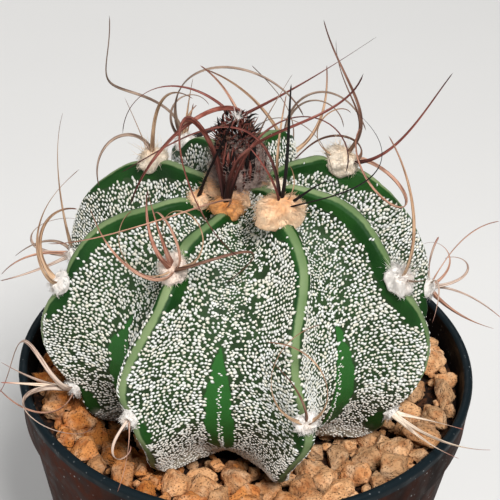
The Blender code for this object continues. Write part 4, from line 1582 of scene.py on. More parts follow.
INK, RUST, SALMON, COPPER, ROSE, SAND, BROWN, GREY, ASHEN, IVORY = Tone
SPINES = {
    "a1": [(110, 80, 38, 10, 15, -2.5, 10, 1.3, INK), (-35, 90, 64, 185, 50, -0.5, 130, 1.0, RUST),
           (0, 75, 25, 55, 65, -0.3, -10, 0.9, RUST), (45, 40, 52, 200, -120, 0.3, 120, 1.1, INK),
           (70, 40, 22, 75, 105, 2.5, -10, 1.2, INK), (80, 55, 14, 75, -15, 0.8, 0, 0.8, SAND)],
    "a2": [(60, 35, 37, 145, -15, -0.2, 70, 0.9, SAND), (-55, 25, 43, 140, 20, 0.1, -60, 0.9, SAND),
           (5, 60, 27, 95, 30, 0.0, 40, 0.8, BROWN)],
    "b1": [(30, 50, 74, 165, 105, -0.1, -40, 0.8, ROSE), (155, 90, 63, 145, 45, 0.4, 190, 1.6, RUST),
           (125, 75, 59, 170, 145, 1.0, -60, 1.7, RUST),
           (-174, 47.5, 88.5, 242, -30.5, 0.0, 40, 2.1, SALMON)],
    "b2": [(-95, 70, 23, 20, 85, 0.2, 0, 1.8, COPPER), (-45, 40, 25, 95, 25, 0.0, 10, 1.4, COPPER),
           (35, 30, 29, 220, 10, 0.1, -20, 1.2, ROSE), (65, 15, 40, 350, -15, 0.5, 0, 1.1, SAND),
           (15, 30, 45, 280, -65, 0.4, -60, 1.2, BROWN), (0, 0, 37, 135, 60, -0.6, -40, 1.3, ROSE),
           (-35, 0, 32, 175, 35, 0.5, -20, 1.1, SAND)],
    "b3": [(-45, -40, 20, 230, -175, 1.2, 0, 1.0, ASHEN), (10, -35, 20, 25, 90, -0.2, 0, 0.8, ROSE)],
    "c1": [(10, 65, 29, 40, -60, -0.8, 60, 1.5, INK)],
    "c2": [(-15, 20, 42, 155, 30, -0.9, -80, 1.1, SAND)],
    "c3": [(-25, 20, 49, 310, 20, 0.1, 150, 1.5, ASHEN), (-70, 20, 22, 5, -140, 1.3, 0, 1.3, IVORY),
           (-80, 10, 22, 30, 65, -0.6, 10, 1.3, ASHEN), (-60, 25, 55, 230, -90, 0.8, 10, 1.5, ASHEN),
           (-5, -15, 31, 125, 45, 0.1, 20, 1.0, ROSE)],
    "d1": [(175, 65, 30, 195, -65, -0.4, 20, 1.4, GREY)],
    "d2": [(-85, -5, 39, 205, 95, 0.3, 0, 1.3, ASHEN), (-95, 5, 23, 60, -130, 0.5, -10, 1.1, ROSE),
           (-75, -25, 23, 15, 15, 0.3, 0, 1.2, ASHEN), (-145, 30, 21, 105, -140, -0.4, 40, 1.1, GREY)],
    "e1": [(110, 15, 66, 20, -85, -0.3, -10, 1.2, RUST), (-175, 50, 58, 200, -115, -0.4, 270, 1.1, GREY),
           (-160, -20, 65, 130, 160, -0.1, -10, 1.4, COPPER), (-165, 55, 11, 55, 75, 0.3, 0, 1.2, SAND),
           (-105, 25, 24, 210, 50, 0.3, 0, 0.9, GREY), (-95, 60, 65, 190, -20, 0.1, 10, 1.3, GREY),
           (170, 75, 18, 10, 140, 0.3, 0, 1.6, SAND)],
    "f1": [(20, 85, 71, 180, 125, 0.2, -20, 1.7, SALMON), (-90, 65, 43, 185, -15, -0.3, -50, 0.8, GREY),
           (-75, 75, 55, 170, 135, 0.3, 40, 1.3, RUST), (-120, 65, 30, 35, -115, 1.1, -10, 1.2, ROSE),
           (-5, 70, 27, 70, -55, 0.0, 50, 1.2, GREY)],
    "f2": [(110, 65, 32, 95, 5, -0.2, -100, 1.0, GREY), (-150, 35, 45, 195, 25, -0.1, 20, 1.1, GREY),
           (-140, 60, 35, 190, 25, 0.5, 0, 0.9, GREY)],
    "g1": [(-65, 30, 28, 205, -5, 0.9, 0, 0.8, SAND), (140, -5, 67, 330, 120, -0.1, -70, 1.2, ROSE),
           (60, -15, 33, 265, -80, -1.1, -20, 1.3, BROWN), (85, 50, 46, 115, 45, -0.3, -160, 1.3, BROWN),
           (80, 60, 42, 115, 80, 0.1, -210, 0.9, BROWN), (45, 0, 42, 80, -30, -1.5, -30, 1.3, RUST)],
    "g2": [(-180, 20, 17, 40, 55, 1.0, -10, 1.8, ASHEN), (120, 15, 23, 180, -70, 0.8, 0, 0.9, ROSE),
           (90, 10, 25, 210, -90, 0.9, 10, 1.1, ASHEN), (140, 40, 29, 50, 115, 1.2, 0, 1.0, ROSE),
           (120, -10, 24, 60, 105, -0.6, 20, 0.8, ASHEN), (35, -20, 23, 40, -75, -0.2, 10, 1.5, ROSE),
           (60, 75, 24, 130, 125, -0.5, -20, 0.9, ASHEN), (170, 15, 14, 45, -60, -0.4, 10, 1.3, ASHEN)],
    "h2": [(45, 20, 9, 25, -40, 1.0, 0, 0.9, GREY)],
    "h3": [(70, 5, 21, 5, 125, 0.3, 0, 1.4, IVORY), (45, -5, 34, 35, -30, 0.4, 20, 1.3, IVORY),
           (30, 5, 27, 30, -110, 0.8, 20, 1.5, IVORY)],
}
FREE_SPINES = {
    "c2": (1, 3), "d1": (1, 1), "d2": (1, 1), "e2": (3, 1), "f2": (2, 4), "f3": (3, 2), "h1": (1, 2),
    "h2": (1, 1),
}


@dataclass
class SpineSet:
    """The flat, papery, curling spines of the areoles.

    A free spine's length, bend, side, late bend, corkscrew and width lie in the ranges of free.
    """

    shape: PlantShape
    effects: Effects
    steps: int = 36
    root_rise: float = 0.2
    tip_width: float = 0.26
    flare: float = 0.42
    swing: float = 55
    tip_swing: float = 35
    steepest: float = 85
    twist: float = 2.2
    free: tuple = ((24, 52), (50, 190), (-70, 70), (-0.3, 0.5), (-60, 60), (0.8, 1.4))
    section: tuple = ((1, 0.15), (0.7, 0.75), (0.2, 0.55), (-0.35, 0.8), (-0.95, 0.35), (-0.8, -0.45),
                      (-0.1, -0.9), (0.75, -0.5))

    def of(self, key: str) -> list[Spine]:
        """The spines of an areole: those set out one by one, then those that grow freely.

        Args:
            key: Name of the areole.

        Returns:
            Its spines.
        """
        spines = [Spine(*values) for values in SPINES.get(key, [])]
        count, seed = FREE_SPINES.get(key, (0, 0))
        rng = random.Random(seed)
        out = self.shape.wool_frame(key)[3].normalized()
        for _ in range(count):
            angle = math.degrees(math.atan2(out.x, -out.y)) + rng.uniform(-self.swing, self.swing)
            rise = math.degrees(math.asin(out.z)) + rng.uniform(-self.tip_swing, self.tip_swing)
            form = [rng.uniform(*span) for span in self.free]
            spines.append(Spine(angle, min(rise, self.steepest), *form))
        return spines

    def path(self, root: Vector, spine: Spine) -> list[Vector]:
        """Points along a spine.

        Args:
            root: Where it starts.
            spine: The spine.

        Returns:
            The points, from its root to its tip.
        """
        turn = math.radians(spine.angle)
        rise = math.radians(spine.rise)
        ahead = Vector((math.sin(turn) * math.cos(rise), -math.cos(turn) * math.cos(rise), math.sin(rise)))
        up = Vector((-math.sin(turn) * math.sin(rise), math.cos(turn) * math.sin(rise), math.cos(rise)))
        curl = Quaternion(ahead, math.radians(spine.side)) @ up
        points = [root.copy()]
        for k in range(self.steps):
            part = (k + 0.5) / self.steps
            bend = math.radians(spine.bend) / self.steps * (1 + spine.late * (2 * part - 1))
            axis = ahead.cross(curl).normalized()
            ahead = (Quaternion(axis, bend) @ ahead).normalized()
            curl = Quaternion(axis, bend) @ curl
            curl = (Quaternion(ahead, math.radians(spine.screw) / self.steps) @ curl).normalized()
            root = root + ahead * spine.length / self.steps
            points.append(root.copy())
        return points

    def outline(self, spine: Spine, twist: float) -> list[list[Pair]]:
        """Cross-sections along a spine: flat, grooved on one face and turning slowly.

        Args:
            spine: The spine.
            twist: How far the blade turns over its length, in radians.

        Returns:
            One outline for each point of its path but the last.
        """
        sections = []
        for k in range(self.steps):
            part = k / self.steps
            taper = 1 - (1 - self.tip_width) * part ** 1.3
            wide = spine.width / 2 * taper * (1 + self.flare * (1 - ease(0, 0.22, part)))
            thick = wide * (0.46 - 0.16 * part)
            c, s = math.cos(twist * part), math.sin(twist * part)
            flat = [(x * wide, y * thick) for x, y in self.section]
            sections.append([(x * c - y * s, x * s + y * c) for x, y in flat])
        return sections

    def build(self, key: str, paint: Material) -> Object | None:
        """Build the spines of an areole.

        Args:
            key: Name of the areole.
            paint: Their finish.

        Returns:
            The piece, or None for an areole without spines.
        """
        spines = self.of(key)
        if not spines:
            return None
        centre, _, _, out = self.shape.wool_frame(key)
        root = centre + out * self.root_rise
        rng = random.Random("twist " + key)
        batch = Batch()
        ring = len(self.section)
        for spine in spines:
            path = self.path(root, spine)
            side = (path[1] - path[0]).normalized().orthogonal()
            points, faces = tube(path, self.outline(spine, rng.uniform(-self.twist, self.twist)), side)
            parts = [k // ring / self.steps for k in range(len(points) - 1)] + [1.0]
            turns = [k % ring / ring for k in range(len(points) - 1)] + [0.5]
            batch.add(points, faces, tone=[self.colour(spine.tone, part) for part in parts],
                      run=[part * spine.length for part in parts], turn=turns,
                      lot=[rng.random()] * len(points))
        return put(batch.build("spines_" + key, paint), "wool", "areole_" + key)

    @staticmethod
    def colour(tone: Tone, part: float) -> tuple[float, float, float, float]:
        """Colour of a spine at a part of its length.

        Args:
            tone: Its colours.
            part: The part, from 0 at its root to 1 at its tip.

        Returns:
            The colour.
        """
        root, middle, tip = (Vector(c) for c in tone.value)
        mixed = root.lerp(middle, ease(0.03, 0.42, part)).lerp(tip, ease(0.70, 1.0, part))
        return (*mixed, 1.0)


def hair_shapes(name: str, length: float, width: float, curl: float, count: int, seed: int) -> Collection:
    """Fine curved hairs, in a collection that is never shown.

    Args:
        name: Name of the collection.
        length: Their length.
        width: Their width.
        curl: How far they bend, in radians.
        count: How many different ones.
        seed: Seed of their shapes.

    Returns:
        The collection.
    """
    rng = random.Random(seed)
    bodies = []
    for _ in range(count):
        bend = curl * rng.uniform(0.3, 1.3)
        sway = rng.uniform(-0.6, 0.6)
        spot = Vector((0, 0, -0.15 * length))
        path = [spot]
        for k in range(3):
            angle = bend * (k + 0.5) / 3
            way = Vector((math.sin(angle), math.sin(sway * (k + 1) / 3), math.cos(angle)))
            spot = spot + way * length / 3
            path.append(spot)
        ring = [(width / 2 * math.cos(2.094 * c), width / 2 * math.sin(2.094 * c)) for c in range(3)]
        bodies.append(tube(path, [ring] * 3, Vector((1, 0, 0))))
    return shape_set(name, bodies)


@dataclass
class WoolCushion:
    """The cushion of wool over an areole, with its hairs."""

    shape: PlantShape
    trees: dict[Wool, tuple[Material, NodeTree]]
    fluff: Collection
    wisps: Collection
    rings: int = 20
    sides: int = 30
    shrink: float = 0.90
    lobes: float = 0.34
    lobe_scale: float = 1.7
    old_place: float = 0.45
    hollow: float = 0.45
    density: float = 4.2e6
    wisp_density: float = 1.6e6

    def build(self, key: str) -> Object:
        """Build the cushion of an areole.

        Args:
            key: Name of the areole.

        Returns:
            The piece.
        """
        areole = AREOLES[key]
        widest = max(areole.across, areole.along)
        centre, across, along, out = self.shape.wool_frame(key)
        axes = [across * self.shrink, along * self.shrink, out * self.shrink]
        points, faces = ball(axes, centre, self.rings, self.sides, self.lobes, self.lobe_scale)
        if areole.place > self.old_place:
            points = [self.sunken(point, centre, out, widest) for point in points]
        names = ["depth", "cover", "lie"] + (["top"] if areole.wisps else [])
        marks: dict[str, list] = {name: [] for name in names}
        for point in points:
            away = point - centre
            level = away.dot(out) / out.length_squared / self.shrink
            flat = away - out * away.dot(out) / out.length_squared
            marks["depth"].append((1 - ease(0.15, 0.75, flat.length / widest)) * ease(0.0, 0.6, level))
            marks["cover"].append(ease(-0.25, 0.1, level))
            marks["lie"].append(tuple((flat + Vector((0, 0, -0.5))).normalized()))
            if areole.wisps:
                marks["top"].append(ease(0.1, 0.7, away.normalized().z) * ease(-0.2, 0.3, level))
        coats = [{"Shapes": self.fluff, "Density": self.density, "Smallest": 0.55, "Largest": 1.25,
                  "Swing": 1.1, "Lean": 0.75, "Lean Spread": 0.6, "Seed": sum(map(ord, key))}]
        if areole.wisps:
            coats.append(coats[0] | {"Shapes": self.wisps, "Cover": "top", "Swing": 3.1, "Lean": 0.15,
                                     "Density": self.wisp_density * areole.wisps, "Lean Spread": 0.5})
        made = felted("wool_" + key, (points, faces), self.trees[areole.wool], marks, coats)
        return put(made, "wool", "areole_" + key)

    def sunken(self, point: Vector, centre: Vector, out: Vector, reach: float) -> Vector:
        """A point of an old cushion, whose middle has sunk in round the spines.

        Args:
            point: The point.
            centre: Middle of the cushion.
            out: Its half axis outwards.
            reach: Its largest half size across.

        Returns:
            The moved point.
        """
        away = point - centre
        level = away.dot(out) / out.length_squared
        flat = away - out * level
        dent = (1 - ease(0.0, 0.62, flat.length / reach)) * ease(0.2, 0.7, level)
        return point - out * self.hollow * dent


@dataclass
class CrownBud:
    """The woolly bud in the crown, with its dark papery scales."""

    shape: PlantShape
    trees: dict[Wool, tuple[Material, NodeTree]]
    effects: Effects
    radius: float = 7.1
    height: float = 24.2
    sink: float = 3.0
    dome: float = 0.68
    long_scales: int = 64
    short_scales: int = 300
    curls: int = 330
    long_length: Pair = (5.5, 9.0)
    short_length: Pair = (1.8, 4.6)
    curl_length: Pair = (2.4, 5.0)
    scale_width: float = 1.15
    head_r: float = 6.8
    head_shift: float = -1.2
    skirt_r: float = 8.4
    skirt_rise: float = 1.9
    skirt_half: float = 3.2
    tuft_r: float = 1.0
    tuft_rise: float = 6.0
    tuft_half: float = 0.8
    hair_density: float = 5.5e6
    rings: int = 22
    sides: int = 30
    lobe_scale: float = 2.0

    @staticmethod
    def axes(radius: float, half: float) -> list[Vector]:
        """Half axes of an upright round ball."""
        return [Vector((radius, 0, 0)), Vector((0, radius, 0)), Vector((0, 0, half))]

    def woolly(self, name: str, centre: Vector, axes: list[Vector], wool: Wool, hairs: Collection,
               depth: float, rough: float) -> Object:
        """A ball of felted wool with its hairs.

        Args:
            name: Name of the object.
            centre: Its middle.
            axes: Its half axes.
            wool: Its colours.
            hairs: The hairs that it bears.
            depth: How far its top has its deeper colour.
            rough: How lobed it is.

        Returns:
            The object.
        """
        points, faces = ball(axes, centre, self.rings, self.sides, rough, self.lobe_scale)
        rise = axes[2].z
        marks = {"depth": [depth * ease(-0.5 * rise, 0.8 * rise, (p - centre).z) for p in points],
                 "cover": [1.0] * len(points), "lie": [(0.0, 0.0, 1.0)] * len(points)}
        coat = {"Shapes": hairs, "Density": self.hair_density, "Smallest": 0.6, "Largest": 1.4,
                "Swing": 1.2, "Lean": 0.9, "Lean Spread": 0.7, "Seed": 9}
        return felted(name, (points, faces), self.trees[wool], marks, [coat])

    def dome_scales(self, batch: Batch, centre: Vector, axes: list[Vector], rng: random.Random) -> None:
        """Add the scales of the dome: long dark ones that close over it and short ones in its wool.

        Args:
            batch: The mesh that they go into.
            centre: Middle of the dome.
            axes: Its half axes.
            rng: Source of chance.
        """
        up = Vector((0, 0, 1))
        for k in range(self.long_scales + self.short_scales):
            high = k < self.long_scales
            turn = rng.gauss(-2.3, 0.9) if high else k * GOLDEN_TURN + rng.uniform(-0.5, 0.5)
            level = rng.uniform(-0.35, 0.60) if high else rng.uniform(-0.80, 0.6)
            flat = math.sqrt(1 - level * level)
            way = Vector((flat * math.cos(turn), flat * math.sin(turn), level))
            sunk = Vector((way.x * axes[0].x, way.y * axes[1].y, way.z * axes[2].z)) * 0.95
            length = rng.uniform(*(self.long_length if high else self.short_length))
            inward = Vector((-way.x, -way.y, 0.0)) * (0.35 if high else 0.0)
            heading = (up * 1.5 + way * rng.uniform(0.1, 0.4) + inward).normalized()
            root = centre + sunk - heading * 0.8
            path = [root + heading * length * part + way * math.sin(math.pi * part) * length * 0.10
                    for part in (0, 0.3, 0.6, 0.85, 1.0)]
            width = self.scale_width * rng.uniform(0.55, 1.15) * (1.0 if high else 0.65)
            tone = Tone.INK if rng.random() < 0.5 else Tone.RUST
            self.put_scale(batch, path, way, width, tone, rng)

    def curled_scales(self, batch: Batch, centre: Vector, rng: random.Random) -> None:
        """Add the head of short, curled scales that tops the bud.

        Args:
            batch: The mesh that they go into.
            centre: Middle of the head.
            rng: Source of chance.
        """
        for k in range(self.curls):
            level = rng.uniform(-0.9, 1.0)
            turn = k * GOLDEN_TURN
            flat = math.sqrt(1 - level * level)
            way = Vector((flat * math.cos(turn), flat * math.sin(turn), level))
            spot = centre + Vector((way.x, way.y, way.z * 1.1)) * self.head_r * rng.uniform(0.30, 0.80)
            ahead = (way + Vector((0, 0, 0.9))).normalized()
            around = Vector([rng.uniform(-1, 1) for _ in range(3)]).normalized()
            bend = rng.uniform(0.5, 2.4)
            length = rng.uniform(*self.curl_length)
            path = [spot]
            for _ in range(4):
                path.append(path[-1] + ahead * length / 4)
                ahead = Quaternion(around, bend / 4) @ ahead
            tone = rng.choice((Tone.RUST, Tone.BROWN, Tone.INK, Tone.INK, Tone.RUST))
            self.put_scale(batch, path, around, rng.uniform(0.40, 0.85), tone, rng)

    def put_scale(self, batch: Batch, path: list[Vector], away: Vector, width: float, tone: Tone,
                  rng: random.Random) -> None:
        """Add a thin pointed scale with its colours to a mesh.

        Args:
            batch: The mesh.
            path: Five points from the scale's root to its tip.
            away: The way that its back faces.
            width: Its width.
            tone: Its colours.
            rng: Source of chance.
        """
        side = (path[-1] - path[0]).cross(away).normalized()
        thick = 0.10 * width + 0.05
        sections = [[(w / 2, 0.0), (0.0, -thick), (-w / 2, 0.0), (0.0, thick)]
                    for w in (0.55 * width, width, 0.85 * width, 0.45 * width)]
        points, faces = tube(path, sections, side)
        parts = [p // 4 / 4 for p in range(len(points))]
        length = (path[-1] - path[0]).length
        batch.add(points, faces, tone=[SpineSet.colour(tone, 0.15 + 0.7 * part) for part in parts],
                  run=[part * length for part in parts], turn=[p % 4 / 4 for p in range(len(points))],
                  lot=[rng.random()] * len(points))

    def build(self) -> list[Object]:
        """Build the bud.

        Returns:
            Its wool, the paler wool round its foot, the white hairs at its tip and its scales.
        """
        top = self.shape.ridge_point(RIBS[0], 0.0)
        up = Vector((0, 0, 1))
        base = top - up * self.sink
        dome = self.height * self.dome
        centre = base + up * dome / 2
        axes = self.axes(self.radius * 0.97, dome / 2)
        hairs = hair_shapes("bud_hairs", 2.8, 0.10, 0.6, 6, 31)
        made = [self.woolly("bud_wool", centre, axes, Wool.ASH, hairs, 0.5, 0.12)]
        low, foot = self.axes(self.skirt_r, self.skirt_half), base + up * self.skirt_rise
        made.append(self.woolly("bud_skirt", foot, low, Wool.PEACH, hairs, 0.7, 0.22))
        head = base + up * (self.height - self.head_r) + Vector((self.head_shift, 0, 0))
        tuft, tip = self.axes(self.tuft_r, self.tuft_half), head + up * self.tuft_rise
        made.append(self.woolly("bud_tuft", tip, tuft, Wool.WHITE, hairs, 0.0, 0.3))
        batch = Batch()
        rng = random.Random(8)
        self.dome_scales(batch, centre, axes, rng)
        self.curled_scales(batch, head, rng)
        made.append(batch.build("bud_scales", SpinePaint().make(self.effects)))
        cleared(hairs)
        return [put(piece, "bud", "crown_bud") for piece in made]


# Pot and fill
@dataclass
class NurseryPot:
    """The round black pot with its rolled lip, collar and drain holes."""

    effects: Effects
    height: float = 100.0
    rim_r: float = 65.0
    lip_width: float = 2.6
    collar: float = 13.0
    taper: float = 1.0
    step: float = 1.3
    base_r: float = 47.0
    wall: float = 1.6
    floor: float = 2.2
    sides: int = 176
    drains: int = 6
    drain_r: float = 4.0
    drain_ring: float = 29.0
    drain_sides: int = 24

    def inner_radius(self, height: float) -> float:
        """Radius of the pot's inside at a height.

        Args:
            height: The height.

        Returns:
            The radius.
        """
        low = self.height - self.collar
        wall_top = self.rim_r - self.taper - self.step - self.wall
        wall_base = self.base_r - self.wall
        if height <= low:
            return wall_base + (wall_top - wall_base) * height / low
        return wall_top + (self.rim_r - self.lip_width - wall_top) * (height - low) / self.collar

    def profile(self) -> list[Pair]:
        """Outline of the wall, as radii and heights.

        Returns:
            The outline, from the middle of the base, over the lip, to the middle of the floor.
        """
        low = self.height - self.collar
        skirt = self.rim_r - self.taper
        waist = skirt - self.step
        lip = self.lip_width / 2
        line = [(0, 0), (6, 0), (self.base_r - 0.8, 0), (self.base_r - 0.24, 0.24), (self.base_r, 0.8)]
        line += [(self.base_r + (waist - self.base_r) * t, 0.8 + (low - 1.4) * t)
                 for t in (0.25, 0.5, 0.75)]
        line += [(waist, low - 0.6), (skirt - 0.5, low - 0.35), (skirt, low + 0.2),
                 (skirt + 0.3, low + 5.0), (self.rim_r - 0.25, self.height - 3.4)]
        for turn in map(math.radians, range(-15, 196, 15)):
            line.append((self.rim_r - lip + lip * math.cos(turn), self.height - lip + lip * math.sin(turn)))
        line += [(self.inner_radius(h), h) for h in (low + 4, low, 60, 30, self.floor + 1)]
        line += [(self.inner_radius(self.floor) - 0.6, self.floor), (6, self.floor), (0, self.floor)]
        return line

    def build(self) -> Object:
        """Build the pot.

        Returns:
            The piece.
        """
        body = lathe(self.profile(), self.sides, Vector((0, 0, 0)))
        made = mesh_object("nursery_pot", *body, PotPaint().make(self.effects))
        line = [(0, -1), (self.drain_r, -1), (self.drain_r, self.floor + 1), (0, self.floor + 1)]
        turns = [2 * math.pi * (k + 0.5) / self.drains for k in range(self.drains)]
        spots = [Vector((math.sin(turn), math.cos(turn), 0)) * self.drain_ring for turn in turns]
        drills = shape_set("drills", [lathe(line, self.drain_sides, spot) for spot in spots])
        bpy.context.scene.collection.children.link(drills)
        cut = made.modifiers.new("drains", "BOOLEAN")
        cut.operation = "DIFFERENCE"
        cut.operand_type = "COLLECTION"
        cut.collection = drills
        cut.solver = "EXACT"
        mesh = bpy.data.meshes.new_from_object(made.evaluated_get(bpy.context.evaluated_depsgraph_get()))
        made.modifiers.clear()
        made.data = mesh
        cleared(drills)
        mesh.shade_smooth()
        mesh.set_sharp_from_angle(angle=math.radians(50))
        # Mark the pot's inner wall for its painted shade.
        inside = []
        for vert in mesh.vertices:
            height = vert.co.z / MM
            reach = math.hypot(vert.co.x, vert.co.y) / MM
            between = self.floor - 0.5 < height < self.height - 0.8
            inside.append(float(between and reach < self.inner_radius(height) + 0.3))
        store(made, "inside", inside)
        return put(made, "pot", "pot")


@dataclass
class GravelBed:
    """The gravel round the plant: its bed, the large lumps and the small ones between them."""

    shape: PlantShape
    pot: NurseryPot
    effects: Effects
    bed_low: float = 79.3
    bed_top: float = 83.0
    hole_r: float = 18.5
    gap: float = 0.3
    bank_rise: float = 8.0
    bank_ends: Pair = (39.0, 56.0)
    small: float = 2.2
    large: float = 4.9
    height: float = 85.4
    tries: int = 6000
    seed: int = 5
    spacing: float = 0.84
    grit: int = 560
    grit_sizes: Pair = (1.2, 2.3)
    lump_least: float = 0.12
    lump_play: Pair = (-0.6, 1.6)
    grit_least: float = 0.1
    grit_play: Pair = (0.0, 2.4)
    kinds: int = 18
    cuts: int = 11
    cut_depth: Pair = (0.62, 1.0)
    blunt: float = 32.0
    knob_scale: float = 360.0
    knobs: float = 0.28
    grain: float = 0.18
    bed_sides: int = 120
    bed_rings: int = 24

    def skin_tree(self) -> KDTree:
        """Places of the plant's lower skin, to keep the lumps off it.

        Returns:
            The places, ready for the search of the nearest one.
        """
        steps = [-1 + k / 8 for k in range(16)]
        spots = [point for number in range(len(RIBS)) for row in range(32)
                 for point in self.shape.skin_row(number, 0.56 + 0.01 * row, steps)]
        tree = KDTree(len(spots))
        for number, point in enumerate(spots):
            tree.insert(point, number)
        tree.balance()
        return tree

    def bank(self, far: float) -> float:
        """How far the gravel is banked up at a distance from the pot's axis."""
        return self.bank_rise * ease(*self.bank_ends, far)

    def spot(self, rng: random.Random, least: float, reach: float, level: float, play: Pair) -> Vector:
        """A random middle for a lump.

        Args:
            rng: Source of chance.
            least: Share of the reach's area in which none lies.
            reach: Furthest from the pot's axis.
            level: Height where the gravel isn't banked up.
            play: Range that is added to the height.

        Returns:
            The middle.
        """
        turn = rng.uniform(0, 2 * math.pi)
        far = math.sqrt(rng.uniform(least, 1.0)) * reach
        height = level + self.bank(far) + rng.uniform(*play)
        return Vector((far * math.sin(turn), -far * math.cos(turn), height))

    def lumps(self, tree: KDTree) -> list[tuple[Vector, float]]:
        """Middles and half sizes of the large lumps, as many as fit.

        Args:
            tree: The plant's lower skin.

        Returns:
            The lumps.
        """
        rng = random.Random(self.seed)
        inner = self.pot.inner_radius(self.height + self.bank_rise) - self.gap
        spots: list[tuple[Vector, float]] = []
        for attempt in range(self.tries):
            size = self.large - (self.large - self.small) * attempt / self.tries
            centre = self.spot(rng, self.lump_least, inner - 0.92 * size, self.height, self.lump_play)
            if tree.find(centre)[2] < size + self.gap:
                continue
            if all((centre - other).length >= self.spacing * (size + width) for other, width in spots):
                spots.append((centre, size))
        return spots

    def small_lumps(self, tree: KDTree) -> list[tuple[Vector, float]]:
        """Middles and half sizes of the small lumps that fill the gaps between the large ones.

        Args:
            tree: The plant's lower skin.

        Returns:
            The lumps.
        """
        rng = random.Random(self.seed + 7)
        inner = self.pot.inner_radius(self.height) - self.gap
        spots = []
        while len(spots) < self.grit:
            size = rng.uniform(*self.grit_sizes)
            centre = self.spot(rng, self.grit_least, inner - size, self.bed_top, self.grit_play)
            if tree.find(centre)[2] > size + self.gap:
                spots.append((centre, size))
        return spots

    def stone_shapes(self, name: str, levels: int, seed: int) -> Collection:
        """Stones with blunt broken edges, in a collection that is never shown.

        A ball is cut by random planes, and each point moves in to a softened meeting of the cuts.

        Args:
            name: Name of the collection.
            levels: How finely the balls are divided.
            seed: Seed of the shapes.

        Returns:
            The collection.
        """
        rng = random.Random(seed)
        globe = bmesh.new()
        bmesh.ops.create_icosphere(globe, subdivisions=levels, radius=1.0)
        ways = [vert.co.copy() for vert in globe.verts]
        faces = [tuple(vert.index for vert in face.verts) for face in globe.faces]
        globe.free()
        bodies = []
        for _ in range(self.kinds):
            cuts = []
            for k in range(self.cuts):
                height = 1 - 2 * (k + 0.5) / self.cuts
                turn = k * GOLDEN_TURN + rng.uniform(-0.5, 0.5)
                flat = math.sqrt(1 - height * height)
                lift = rng.uniform(-0.25, 0.25)
                way = Vector((flat * math.cos(turn), flat * math.sin(turn), height + lift))
                cuts.append(way.normalized() / rng.uniform(*self.cut_depth))
            points = []
            for way in ways:
                near = sum(max(way.dot(cut), 0.0) ** self.blunt for cut in cuts) ** (-1 / self.blunt)
                points.append(way * near / MM)
            bodies.append((points, faces))
        return shape_set(name, bodies)

    def points(self, name: str, spots: list[tuple[Vector, float]], seed: int) -> Object:
        """A mesh of bare points, one for each stone, with the stone's axes, turn and girth.

        Args:
            name: Name of the object.
            spots: Middles and half sizes.
            seed: Seed of the shapes.

        Returns:
            The object.
        """
        rng = random.Random(seed)
        made = mesh_object(name, [spot for spot, _ in spots], [])
        axes, turns = [], []
        for _, size in spots:
            spin = Quaternion((0, 0, 1), rng.uniform(0, 2 * math.pi))
            turns.append(tuple(spin @ Quaternion((1, 0, 0), rng.uniform(-0.5, 0.5))))
            axes.append((size * MM * rng.uniform(1.0, 1.14), size * MM * rng.uniform(0.68, 0.95),
                         size * MM * rng.uniform(0.66, 0.86)))
        store(made, "axes", axes, "FLOAT_VECTOR")
        store(made, "turn", turns, "QUATERNION")
        store(made, "girth", [size * MM for _, size in spots])
        return made

    def bed(self) -> Object:
        """The rough bed under the lumps, with the hole for the plant's neck.

        Returns:
            The object.
        """
        sides, rings = self.bed_sides, self.bed_rings
        axis = Vector((*self.shape.axis, 0))
        points, faces = [], []
        for ring in range(rings + 3):
            under = ring > rings
            share = float(rings + 2 - ring) if under else ring / rings
            rim = self.bed_low if under else self.bed_top + self.bank_rise
            outer = self.pot.inner_radius(rim) - self.gap - 0.1
            for k in range(sides):
                turn = 2 * math.pi * k / sides
                way = Vector((math.sin(turn), -math.cos(turn), 0))
                spot = (axis + way * self.hole_r).lerp(way * outer, share)
                rough = 0.0 if share in (0.0, 1.0) else 0.5 * noise.noise(spot * 0.5)
                top = self.bed_top + self.bank(spot.length) - 0.3 + rough
                spot.z = self.bed_low if under else top
                points.append(spot)
        count = rings + 3
        for ring in range(count):
            for k in range(sides):
                after = (k + 1) % sides
                low, high = ring * sides, (ring + 1) % count * sides
                faces.append((low + k, high + k, high + after, low + after))
        # The bed is darkened to paint the deep shade in the gaps between the stones.
        paint = SoilPaint("bed_grit", (0.012, 0.006, 0.004), (0.085, 0.032, 0.013)).make(self.effects)
        return mesh_object("gravel_bed", points, faces, paint)

    def build(self) -> list[Object]:
        """Build the gravel.

        Returns:
            The bed, the large lumps and the small ones.
        """
        tree = self.skin_tree()
        stones = stone_tree(StonePaint().make(self.effects))
        made = [put(self.bed(), "gravel", "gravel")]
        for name, spots, levels, seed in (
            ("gravel_lumps", self.lumps(tree), 4, 41), ("gravel_grit", self.small_lumps(tree), 2, 43),
        ):
            dots = self.points(name + "_points", spots, seed)
            log.info("%s: %d stones", name, len(spots))
            shapes = self.stone_shapes(name + "_shapes", levels, seed)
            settings = {"Shapes": shapes, "Knob Scale": self.knob_scale, "Knobs": self.knobs,
                        "Grain": self.grain, "Seed": seed}
            made.append(put(baked(dots, name, stones, settings), "gravel", "gravel"))
            drop(dots)
            cleared(shapes)
        return made


